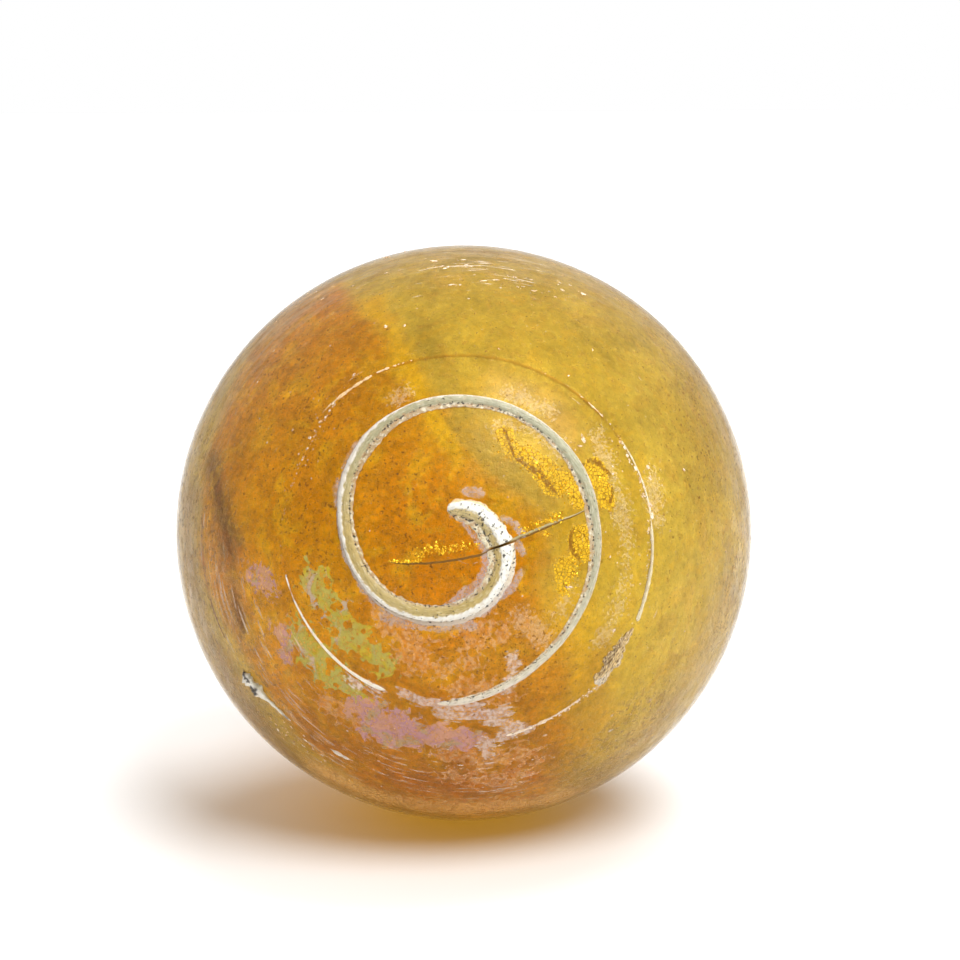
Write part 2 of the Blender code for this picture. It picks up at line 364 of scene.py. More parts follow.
# Tones of the glass by zone: an outline or a line of pixels, how far it fades in millimetres, and its share
zones = [
    {"name": "orange belly", "tone": (0.56, 0.175, 0.0006), "fade": 2.0, "share": 1.0, "speckle": 1.0,
     "outline": [
        (332, 280), (372, 318), (402, 355), (425, 392), (450, 425), (476, 456), (500, 480), (530, 503),
        (550, 520), (548, 560), (540, 600), (556, 640), (566, 690), (572, 745), (540, 805), (470, 818),
        (380, 795), (300, 735), (236, 650), (200, 560), (205, 470), (240, 370), (285, 305)]},
    {"name": "deep orange middle", "tone": (0.58, 0.115, 0.0001), "fade": 4.5, "share": 0.9, "outline": [
        (362, 500), (392, 450), (430, 470), (470, 495), (520, 545), (520, 600), (455, 615), (390, 590)]},
    {"name": "orange over the left", "tone": (0.46, 0.120, 0.0003), "fade": 4.0, "share": 0.8, "outline": [
        (285, 380), (330, 340), (375, 360), (385, 395), (350, 450), (330, 540), (345, 610), (290, 600),
        (262, 500)]},
    {"name": "lower orange", "tone": (0.56, 0.195, 0.006), "fade": 5.0, "share": 0.8, "outline": [
        (360, 640), (430, 640), (530, 620), (580, 660), (580, 740), (470, 790), (360, 760)]},
    {"name": "lower gold", "tone": (0.62, 0.31, 0.010), "fade": 6.0, "share": 0.75, "line": [
        (560, 610), (588, 660), (590, 720), (556, 780)]},
    {"name": "yellow edge", "tone": (0.76, 0.40, 0.004), "fade": 3.0, "share": 0.95, "line": [
        (372, 305), (393, 335), (408, 362), (432, 410), (452, 445)]},
    # painted highlight: a paler tone where the front lamp's soft reflection and glow fall on the globe
    {"name": "painted window highlight", "tone": (0.62, 0.40, 0.08), "fade": 4.5, "share": 0.8, "line": [
        (500, 388), (530, 394), (552, 410), (568, 436)]},
    {"name": "yellow right", "tone": (0.65, 0.48, 0.062), "fade": 7.5, "share": 0.8, "line": [
        (640, 400), (672, 470), (680, 560), (665, 630)]},
    {"name": "yellow upper right", "tone": (0.76, 0.54, 0.06), "fade": 6.5, "share": 0.7, "line": [
        (590, 318), (635, 340), (668, 378)]},
    {"name": "gold by the crack", "tone": (0.58, 0.34, 0.010), "fade": 3.0, "share": 0.85, "line": [
        (565, 520), (575, 570), (575, 610), (590, 640)]},
    {"name": "olive shade", "tone": (0.42, 0.27, 0.03), "fade": 3.0, "share": 0.7, "line": [
        (470, 425), (500, 450), (525, 485), (545, 495)]},
    {"name": "olive above the ring", "tone": (0.38, 0.25, 0.02), "fade": 4.2, "share": 0.85, "line": [
        (418, 332), (436, 362), (454, 388), (480, 412)]},
    {"name": "yellow wedge", "tone": (0.84, 0.43, 0.003), "fade": 0.35, "share": 0.85, "steady": True,
     "outline": [
        (402, 350), (414, 362), (428, 396), (444, 424), (458, 446), (440, 440), (424, 414), (410, 392),
        (398, 366)]},
    {"name": "olive wedge", "tone": (0.34, 0.215, 0.018), "fade": 0.4, "share": 0.85, "steady": True,
     "outline": [
        (444, 418), (470, 412), (500, 430), (530, 462), (552, 500), (520, 494), (484, 468), (462, 446)]},
    {"name": "brown band", "tone": (0.05, 0.018, 0.005), "fade": 3.4, "share": 0.85, "line": [
        (212, 462), (217, 490), (223, 518), (229, 548)]},
    {"name": "lower brown band", "tone": (0.13, 0.05, 0.012), "fade": 3.2, "share": 0.7, "line": [
        (229, 548), (236, 600), (252, 645)]},
    {"name": "left gold", "tone": (0.20, 0.10, 0.026), "fade": 6.5, "share": 0.85, "line": [
        (188, 500), (190, 560), (205, 630), (240, 700), (290, 760)]},
    # painted light: a bright amber along the bottom for the glow that the lit floor throws up into the globe
    {"name": "painted floor glow at the bottom", "tone": (0.96, 0.55, 0.16), "fade": 7.0, "share": 0.9, "line": [
        (330, 780), (400, 808), (480, 815), (560, 800)]},
    {"name": "right lower olive", "tone": (0.48, 0.315, 0.07), "fade": 6.0, "share": 0.7, "line": [
        (600, 770), (660, 720), (700, 660), (730, 590)]},
]
tones = {
    "globe": (0.60, 0.41, 0.032),  # yellow-olive amber
    "belt": (0.50, 0.365, 0.14),  # paler round the widest part
    "neck": (0.62, 0.40, 0.10),
    "speckle": 0.45,  # how strongly the yellow glass is speckled, where the orange has 1
    # millimetres along the wall: the belt's middle and half width, the neck's start and its fade
    "beltAt": (54, 14),
    "beltStrength": 0.75,
    "neckAt": (80, 20),
}


def paintTones(local):
    # soft zones over the base tone, each edge moved in and out by noise
    place = baseMap(local)
    arc = np.linalg.norm(place, axis=1)
    colour = np.tile(np.array(tones["globe"]), (len(local), 1))
    speckle = np.full(len(local), tones["speckle"])
    wobble = cloud(local, 0.004, 11) * 1.2 + cloud(local, 0.0015, 12) * 0.6

    def lay(tone, share):
        colour[:] = colour + (np.array(tone) - colour) * share[:, None]

    for zone in zones:
        if "outline" in zone:
            reach = outlineDistance(place, mapSpot(zone["outline"])) + wobble * ("steady" not in zone)
            cover = smooth(0.5 + reach / (2 * zone["fade"]))
        else:
            cover = smooth(1 - (lineDistance(place, mapSpot(zone["line"])) + wobble) / zone["fade"])
        lay(zone["tone"], cover * zone["share"])
        speckle = speckle + (zone.get("speckle", speckle) - speckle) * cover
    middle, half = tones["beltAt"]
    lay(tones["belt"], smooth(1 - np.abs(arc - middle) / half) * tones["beltStrength"])
    start, fade = tones["neckAt"]
    lay(tones["neck"], smooth((arc - start) / fade))
    return colour, speckle


glassTone, glassSpeckle = paintTones(glassLocal)
setColours(glassBody, "tone", glassTone)
setValues(glassBody, "speckle", glassSpeckle)
print("tones painted")


# Small helpers for node trees; a node made from sockets goes into the tree they belong to
def newMaterial(name):
    material = bpy.data.materials.new(name)
    material.use_nodes = True
    return material, material.node_tree, material.node_tree.nodes["Principled BSDF"]


def isSocket(value):
    return isinstance(value, bpy.types.NodeSocket)


def fill(node, inputs):
    # each input linked to a socket or set to a value
    for key, value in inputs.items():
        if isSocket(value):
            node.id_data.links.new(value, node.inputs[key])
        else:
            node.inputs[key].default_value = value


def addNode(tree, kind, inputs=None, **settings):
    # a node with its settings and its inputs
    node = tree.nodes.new(kind)
    for key, value in settings.items():
        setattr(node, key, value)
    fill(node, inputs or {})
    return node


def joinNode(kind, inputs, **settings):
    # the same, in the tree of the first socket among its inputs
    tree = next(value for value in inputs.values() if isSocket(value)).id_data
    return addNode(tree, kind, inputs, **settings)


def attribute(tree, name, output="Fac"):
    return addNode(tree, "ShaderNodeAttribute", attribute_name=name).outputs[output]


def objectPlace(tree):
    return addNode(tree, "ShaderNodeTexCoord").outputs["Object"]


def facing(tree):
    return addNode(tree, "ShaderNodeLayerWeight", {"Blend": 0.5}).outputs["Facing"]


def noise(place, scale, detail=3.0, rough=0.5, twist=0.0):
    inputs = {"Vector": place, "Scale": scale, "Detail": detail, "Roughness": rough, "Distortion": twist}
    return joinNode("ShaderNodeTexNoise", inputs).outputs["Fac"]


def voronoi(place, scale, **settings):
    return joinNode("ShaderNodeTexVoronoi", {"Vector": place, "Scale": scale}, **settings).outputs


def sums(operation, first, *others):
    # one node for each further value
    for other in others:
        first = joinNode("ShaderNodeMath", {0: first, 1: other}, operation=operation).outputs["Value"]
    return first


def plus(*values):
    return sums("ADD", *values)


def less(value, taken):
    return sums("SUBTRACT", value, taken)


def times(*values):
    return sums("MULTIPLY", *values)


def swing(value, depth):
    # noise about zero, as far as the depth
    return times(less(value, 0.5), depth)


def span(value, low, high, toLow=0.0, toHigh=1.0):
    inputs = {"Value": value, "From Min": low, "From Max": high, "To Min": toLow, "To Max": toHigh}
    return joinNode("ShaderNodeMapRange", inputs, interpolation_type="SMOOTHSTEP").outputs["Result"]


def mix(share, a, b, how="MIX"):
    inputs = {"Factor": share, "A": a, "B": b}
    return joinNode("ShaderNodeMix", inputs, data_type="RGBA", blend_type=how).outputs["Result"]


def mixShader(share, a, b):
    return joinNode("ShaderNodeMixShader", {0: share, 1: a, 2: b}).outputs[0]


def uneven(place, scale, low, high, detail=3.0):
    # noise spread from low to high
    return span(noise(place, scale, detail), 0.3, 0.7, low, high)


def bumped(height, strength, distance):
    inputs = {"Height": height, "Strength": strength, "Distance": distance}
    return joinNode("ShaderNodeBump", inputs).outputs["Normal"]


def newGroup(name, amount, output):
    # a shader node group that takes a place, a scale and one amount, and gives one value
    group = bpy.data.node_groups.new(name, "ShaderNodeTree")
    kinds = {"Place": "NodeSocketVector", "Scale": "NodeSocketFloat", amount: "NodeSocketFloat"}
    for label, kind in kinds.items():
        group.interface.new_socket(label, in_out="INPUT", socket_type=kind)
    group.interface.new_socket(output, in_out="OUTPUT", socket_type="NodeSocketFloat")
    given = group.nodes.new("NodeGroupInput").outputs
    return group, [given[label] for label in kinds], group.nodes.new("NodeGroupOutput")


def pitGroup():
    # small eaten pits: noise over a level that the cover lowers
    group, (place, scale, cover), out = newGroup("eaten pits", "Cover", "Mask")
    over = less(noise(place, scale, 2.0, 0.6), less(0.74, times(cover, 0.2)))
    fill(out, {"Mask": span(over, 0.0, 0.035)})
    return group


def grainGroup():
    # uneven weathering: coarse and fine noise added into one value about 1
    group, (place, scale, depth), out = newGroup("weathered grain", "Depth", "Value")
    coarse = noise(place, scale, 5.0, 0.62, 0.3)
    fine = noise(place, times(scale, 7.0), 2.0)
    both = plus(times(coarse, 1.3), times(fine, 0.7))
    fill(out, {"Value": plus(times(less(both, 1.0), depth), 1.0)})
    return group


pitsNode = pitGroup()
grainNode = grainGroup()


def pits(place, scale, cover):
    inputs = {"Place": place, "Scale": scale, "Cover": cover}
    return joinNode("ShaderNodeGroup", inputs, node_tree=pitsNode).outputs["Mask"]


def grained(tone, place, scale, depth):
    # the tone times the weathered grain
    inputs = {"Place": place, "Scale": scale, "Depth": depth}
    value = joinNode("ShaderNodeGroup", inputs, node_tree=grainNode).outputs["Value"]
    return mix(1.0, tone, value, "MULTIPLY")


# Glass of the flask, with places along the wall in millimetres from the base's middle
glassWear = {
    "streakStretch": 14.0,  # how much the streaks are drawn out round the flask's axis
    "beltFrom": 34,
    "beltPast": 60,
    "beltFade": 16,
    "beltLoss": 0.8,  # share of the belt's wear that the back lacks
    "glossFrom": 48,
    "glossFade": 14,
}


def wallArc(local):
    return np.linalg.norm(baseMap(local), axis=1)


def ringPlaces(local):
    # places for streaks round the axis: the way along the wall in full, the way round pressed together
    place = baseMap(local)
    return np.concatenate([wallArc(local)[:, None], place / glassWear["streakStretch"]], axis=1)


def beltShare(local):
    arc, fade = wallArc(local), glassWear["beltFade"]
    past = smooth((arc - glassWear["beltPast"]) / fade)
    return smooth((arc - glassWear["beltFrom"]) / fade) * (1 - glassWear["beltLoss"] * past)


def glossShare(local):
    return smooth((wallArc(local) - glassWear["glossFrom"]) / glassWear["glossFade"])


setPlaces(glassBody, "ringPlace", ringPlaces(glassLocal))
setValues(glassBody, "belt", beltShare(glassLocal))
setValues(glassBody, "glossy", glossShare(glassLocal))


def passLight(tree, shader, tint, edgeTint, glow):
    # light that throws the shadow goes straight through the wall and takes its tint, a darker one where it
    # grazes, and the floor's soft glow goes through as well
    rays = addNode(tree, "ShaderNodeLightPath").outputs
    middle, edge, soft = (
        addNode(tree, "ShaderNodeBsdfTransparent", {"Color": colour}).outputs[0]
        for colour in (tint, edgeTint, glow))
    shadow = mixShader(span(facing(tree), 0.02, 0.36), middle, edge)
    surface = mixShader(rays["Is Shadow Ray"], shader.outputs[0], shadow)
    fill(tree.nodes["Material Output"], {"Surface": mixShader(rays["Is Diffuse Ray"], surface, soft)})


def amberGlass():
    material, tree, shader = newMaterial("weathered amber glass")
    place = objectPlace(tree)
    ringPlace = attribute(tree, "ringPlace", "Vector")
    speckle = attribute(tree, "speckle")
    belt = attribute(tree, "belt")
    patchy = noise(place, 230.0, 5.0, 0.65, 0.6)
    streaks = times(plus(noise(ringPlace, 1.2, 5.0, 0.65), noise(ringPlace, 0.4)), 0.5)
    tone = attribute(tree, "tone", "Color")
    tone = mix(times(span(patchy, 0.50, 0.64, 0.0, 0.6), speckle), tone, (0.74, 0.34, 0.002, 1))
    tone = mix(times(span(patchy, 0.50, 0.36, 0.0, 0.5), speckle), tone, (0.42, 0.085, 0.0002, 1))
    tone = grained(tone, place, 190.0, 1.1)
    tone = grained(tone, place, 1100.0, times(speckle, 1.5))
    tone = mix(times(span(streaks, 0.50, 0.60), belt, 0.5), tone, (0.68, 0.52, 0.30, 1))
    tone = mix(times(span(streaks, 0.49, 0.40), belt, 0.6), tone, (0.26, 0.14, 0.04, 1))
    grazing = span(facing(tree), 0.80, 0.97, 0.04, 0.8)
    fill(shader, {
        "Base Color": tone,
        "Roughness": uneven(place, 500.0, 0.32, 0.5, 4.0),
        "Normal": bumped(noise(place, 620.0, 5.0, 0.65), 0.45, 0.0003),
        "IOR": 1.5,
        "Specular Tint": (0.6, 0.4, 0.08, 1),
        "Transmission Weight": 0.85,
        "Coat Weight": sums("MAXIMUM", grazing, times(attribute(tree, "glossy"), 0.6)),
        "Coat Roughness": 0.12,
    })
    passLight(tree, shader, (0.47, 0.325, 0.10, 1), (0.21, 0.175, 0.10, 1), (0.74, 0.53, 0.17, 1))
    return material


def clearWall():
    material, tree, shader = newMaterial("clear inner wall")
    place = objectPlace(tree)
    cloudy = span(noise(place, 160.0, 4.0), 0.35, 0.65)
    fill(shader, {
        "Base Color": mix(cloudy, (0.98, 0.95, 0.88, 1), (0.94, 0.90, 0.80, 1)),
        "Roughness": uneven(place, 300.0, 0.06, 0.16),
        "IOR": 1.5,
        "Transmission Weight": 1.0,
    })
    passLight(tree, shader, *[(0.97, 0.93, 0.85, 1)] * 3)
    return material


def splitWalls(item, outside):
    # the inner wall's faces take the second material
    starts = np.zeros(len(item.data.polygons), np.int32)
    item.data.polygons.foreach_get("loop_start", starts)
    corners = np.zeros(len(item.data.loops), np.int32)
    item.data.loops.foreach_get("vertex_index", corners)
    item.data.materials.append(amberGlass())
    item.data.materials.append(clearWall())
    item.data.polygons.foreach_set("material_index", (outside[corners[starts]] < 0.5).astype(np.int32))


splitWalls(glassBody, glassOutside)
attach(glassBody, "root")
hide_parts("globe", "neck")
print("glass finished")

# Weathered skin, with a painted glow along the bottom: a film a few hundredths of a millimetre over the
# globe, that its masks leave open
skin = {
    "around": 240,
    "lift": 0.00003,
    "depth": 0.00030,  # its back lies inside the wall of the glass
    "rings": 0.0004,
    "reach": math.radians(158),  # how far it goes over the globe from the base's middle
    "steadyUnder": 2.5,  # films narrower than this wander less, in millimetres
    # lines of pixels, and how far a film spreads from them in millimetres
    "films": {
        "greenFilm": {"wide": 3.4, "lines": [
            [(300, 630), (312, 655), (326, 676)], [(350, 634), (366, 648), (380, 660)],
            [(312, 580), (319, 594)], [(338, 678), (352, 684)], [(334, 618), (344, 630)]]},
        "salmonFilm": {"wide": 3.6, "lines": [
            [(395, 628), (430, 642)], [(398, 655), (440, 668), (470, 660)], [(386, 612), (400, 618)],
            [(470, 640), (500, 630)], [(455, 690), (500, 690)], [(330, 700), (350, 716)],
            [(446, 752), (490, 762), (530, 752)], [(450, 774), (490, 780), (522, 772)]]},
        "roseFilm": {"wide": 3.4, "lines": [
            [(356, 708), (378, 716), (402, 722)], [(368, 730), (398, 738), (426, 740)],
            [(412, 728), (442, 736), (474, 738)], [(256, 574), (266, 584)], [(282, 628), (286, 650)]]},
        "frost": {"wide": 1.8, "lines": [
            [(404, 692), (420, 702), (450, 706), (480, 708)], [(440, 714), (470, 716), (510, 712)],
            [(480, 716), (500, 722), (520, 726)], [(505, 690), (512, 672), (510, 655)],
            [(502, 737), (530, 728)], [(346, 676), (378, 690)], [(484, 740), (490, 762)]]},
        "halo": {"wide": 0.95, "lines": [
            [(467, 492), (479, 493)], [(502, 518), (514, 524), (522, 533)], [(517, 543), (522, 552)],
            [(520, 573), (512, 588), (496, 600), (482, 614)],
            [(384, 617), (410, 626), (440, 630), (474, 625)], [(361, 584), (373, 598), (386, 609)],
            [(338, 479), (338, 497), (341, 514)], [(343, 547), (350, 564)],
            [(343, 472), (349, 456), (357, 444)], [(453, 513), (464, 524), (475, 537)],
            [(477, 540), (486, 550), (487, 572)], [(484, 572), (478, 584), (465, 596)],
            [(466, 591), (456, 600), (444, 606)]]},
        "gilt": {"wide": 2.3, "lines": [
            [(507, 434), (514, 450)], [(526, 450), (545, 470), (560, 488)], [(566, 480), (578, 502)],
            [(596, 470), (606, 498)], [(580, 530), (582, 552)], [(566, 568), (562, 590)]]},
        "scorch": {"wide": 0.34, "lines": [
            [(588, 460), (600, 464), (609, 474), (613, 490), (610, 502)],
            [(572, 530), (570, 548), (580, 560)], [(504, 428), (514, 456), (540, 474), (556, 494)]]},
        "bloom": {"wide": 3.0, "lines": [
            [(596, 440), (618, 490), (628, 550), (618, 610), (600, 640)], [(652, 470), (654, 520)],
            [(500, 425), (535, 430), (560, 450)], [(520, 620), (545, 640)], [(560, 610), (572, 590)],
            [(398, 400), (408, 395)], [(505, 395), (550, 410)]]},
        "pitted": {"wide": 13.0, "lines": [
            [(290, 360), (310, 430), (300, 500), (320, 570)], [(390, 480), (420, 560)],
            [(690, 380), (705, 470)], [(440, 640), (520, 650)]]},
        "streaked": {"wide": 9.0, "lines": [
            [(256, 640), (300, 720), (340, 762)], [(390, 768), (440, 786), (500, 785)],
            [(215, 560), (240, 630)], [(440, 265), (520, 270)]]},
        "mottled": {"wide": 9.0, "lines": [
            [(700, 330), (735, 430), (745, 530), (728, 630)], [(630, 300), (690, 370)],
            [(640, 720), (590, 770)], [(200, 440), (218, 530), (238, 620), (262, 690)],
            [(184, 470), (190, 560), (214, 645), (252, 708)]]},
        "band": {"wide": 1.7, "lines": [
            [(215, 474), (220, 500), (225, 526), (230, 550)], [(234, 590), (244, 628)]]},
        # painted light: a pale amber film along the bottom for the floor's glow up into the globe
        "floorGlowFilm": {"wide": 7.0, "lines": [[(320, 770), (390, 800), (470, 808), (560, 796)]]},
    },
}


def makeSkin():
    # the globe's rings once a little outside the glass and back again inside its wall
    rows = round(skin["reach"] * flask["globeRadius"] / skin["rings"])
    out = np.linspace(0, skin["reach"], rows)
    polar = np.concatenate([out, out[::-6]])
    size = np.concatenate([np.full(rows, skin["lift"]), np.full(len(polar) - rows, -skin["depth"])])
    size = size + flask["globeRadius"]
    angle = np.arange(skin["around"]) * 2 * math.pi / skin["around"]
    across = (size * np.sin(polar))[:, None]
    down = np.broadcast_to((-size * np.cos(polar))[:, None], (len(polar), len(angle)))
    local = np.stack([across * np.cos(angle), across * np.sin(angle), down], axis=-1).reshape(-1, 3)
    world = toWorld(waver(local))
    world[:, 2] = np.maximum(world[:, 2], skin["lift"])
    keep, quads, triangles = poleFaces(len(polar), len(angle))
    item = meshPiece("weathered_skin_and_glow", world[keep], quads, triangles)
    shows = np.repeat(np.arange(len(polar)) < rows - 1, len(angle))[keep]
    return item, local[keep], shows.astype(float)


def paintSkin(item, local, shows):
    place = baseMap(local)
    wobble = cloud(local, 0.003, 21) * 0.7 + cloud(local, 0.0012, 22) * 0.35
    for name, film in skin["films"].items():
        nearest = np.min([lineDistance(place, mapSpot(line)) for line in film["lines"]], axis=0)
        strayed = nearest + wobble * min(1, film["wide"] / skin["steadyUnder"])
        setValues(item, name, np.clip(1 - strayed / film["wide"], 0, 1))
    setValues(item, "shows", shows)
    setValues(item, "belt", beltShare(local))
    setPlaces(item, "ringPlace", ringPlaces(local))


def weatheredSkinAndGlow():
    material, tree, shader = newMaterial("weathered skin and painted glow")
    place = objectPlace(tree)
    cells = voronoi(place, 880.0)
    chance = joinNode("ShaderNodeSeparateColor", {0: cells["Color"]}).outputs[0]
    holes = times(cells["Distance"], plus(chance, 0.55))
    curd = voronoi(place, 3000.0)["Distance"]
    seams = span(voronoi(place, 2300.0, feature="DISTANCE_TO_EDGE")["Distance"], 0.10, 0.02)
    fine = noise(place, 1900.0, 4.0, 0.6)
    mottle = noise(place, 1300.0, 4.0, 0.65)
    hue = noise(place, 300.0, 3.0, 0.5, 0.8)
    streaks = noise(attribute(tree, "ringPlace", "Vector"), 2.6, 4.0, 0.6)
    ragged = swing(fine, 0.9)
    belt = attribute(tree, "belt")
    film = {name: attribute(tree, name) for name in skin["films"]}

    def within(name, cover, low, high, fade):
        # a cover that ends where its film does
        return times(span(cover, low, high), span(film[name], 0.0, fade))

    def broken(name, tear, tearing, low, high, fade):
        # a film that this tear and the fine noise break up: solid in its middle, a net towards its edge
        return within(name, plus(film[name], tear, times(ragged, tearing)), low, high, fade)

    def torn(name, tearing, level, edge):
        # a film whose edge only the fine noise tears
        return span(plus(film[name], times(ragged, tearing)), level, level + edge)

    salmon = mix(span(fine, 0.40, 0.62), (0.62, 0.22, 0.06, 1), (0.73, 0.44, 0.22, 1))
    green = mix(span(hue, 0.40, 0.52), (0.54, 0.46, 0.04, 1), (0.43, 0.47, 0.12, 1))
    green = mix(span(hue, 0.55, 0.64), green, (0.50, 0.46, 0.38, 1))
    rose = mix(span(hue, 0.40, 0.50), (0.68, 0.40, 0.33, 1), (0.55, 0.34, 0.43, 1))
    rose = mix(span(hue, 0.53, 0.62), rose, (0.46, 0.40, 0.26, 1))
    frost = mix(span(fine, 0.35, 0.65), (0.62, 0.48, 0.42, 1), (0.85, 0.78, 0.73, 1))
    halo = mix(span(fine, 0.35, 0.65), (0.38, 0.36, 0.35, 1), (0.53, 0.49, 0.48, 1))
    gold = mix(seams, (0.80, 0.47, 0.02, 1), (0.16, 0.06, 0.003, 1))
    gold = mix(span(mottle, 0.52, 0.68), gold, (0.44, 0.22, 0.006, 1))
    patchy = swing(noise(place, 560.0, 6.0, 0.68, 0.5), 2.4)
    browned = plus(mottle, times(film["pitted"], 0.08))
    wisps = plus(times(film["streaked"], 0.14), streaks)
    pitCover = plus(times(film["pitted"], 0.45), 0.22)
    # from the lowest layer up: where it lies, its tone and how strongly it covers
    layers = [
        (span(browned, 0.50, 0.70), (0.33, 0.125, 0.006, 1), 0.34),
        (span(mottle, 0.46, 0.30), (0.80, 0.42, 0.03, 1), 0.12),
        (broken("bloom", curd, 1.0, 1.0, 1.45, 0.4), (0.80, 0.62, 0.40, 1), 0.26),
        (broken("salmonFilm", holes, 1.0, 1.04, 1.16, 0.2), salmon, 0.44),
        (times(belt, span(streaks, 0.42, 0.62, 0.25, 1.0)), (0.52, 0.41, 0.26, 1), 0.17),
        (times(belt, span(streaks, 0.41, 0.33)), (0.23, 0.12, 0.04, 1), 0.55),
        (broken("roseFilm", patchy, 0.8, 0.38, 0.66, 0.3), rose, 0.54),
        (broken("greenFilm", holes, 1.0, 1.00, 1.10, 0.2), green, 0.66),
        (torn("gilt", 0.8, 0.34, 0.16), gold, 0.85),
        (torn("scorch", 0.9, 0.25, 0.35), (0.22, 0.09, 0.008, 1), 0.7),
        (within("mottled", mottle, 0.49, 0.62, 0.6), (0.28, 0.15, 0.045, 1), 0.6),
        (torn("band", 0.9, 0.25, 0.5), (0.15, 0.065, 0.02, 1), 0.55),
        # painted glow from the floor along the bottom
        (torn("floorGlowFilm", 1.2, 0.25, 0.7), (0.76, 0.45, 0.16, 1), 0.5),
        (torn("halo", 1.0, 0.30, 0.40), halo, 0.46),
        (broken("frost", swing(streaks, 2.0), 0.7, 0.46, 0.74, 0.3), frost, 0.46),
        (span(wisps, 0.67, 0.75), (0.84, 0.70, 0.56, 1), 0.5),
        (pits(place, 1700.0, 0.04), (0.88, 0.70, 0.46, 1), 0.45),
        (pits(place, 2600.0, pitCover), (0.14, 0.05, 0.008, 1), 0.80),
        (pits(place, 1150.0, times(pitCover, 0.5)), (0.18, 0.07, 0.010, 1), 0.66),
    ]
    colour = (0.6, 0.4, 0.1, 1)
    cover = 0.0
    for mask, layerColour, strength in layers:
        colour = mix(mask, colour, layerColour)
        cover = sums("MAXIMUM", cover, times(mask, strength))
    thin = times(cover, span(fine, 0.32, 0.58, 0.55, 1.0))
    fill(shader, {
        "Base Color": colour,
        "Alpha": times(thin, attribute(tree, "shows")),
        "Roughness": span(fine, 0.3, 0.7, 0.35, 0.6),
        "Normal": bumped(cover, 0.25, 0.0001),
        "Specular IOR Level": 0.12,
    })
    return material


skinBody, skinLocal, skinShows = makeSkin()
paintSkin(skinBody, skinLocal, skinShows)
for ray in ("diffuse", "glossy", "transmission", "shadow"):
    setattr(skinBody, "visible_" + ray, False)  # too thin to throw a shadow
skinBody.data.materials.append(weatheredSkinAndGlow())
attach(skinBody, "root")
print("skin laid over the glass")

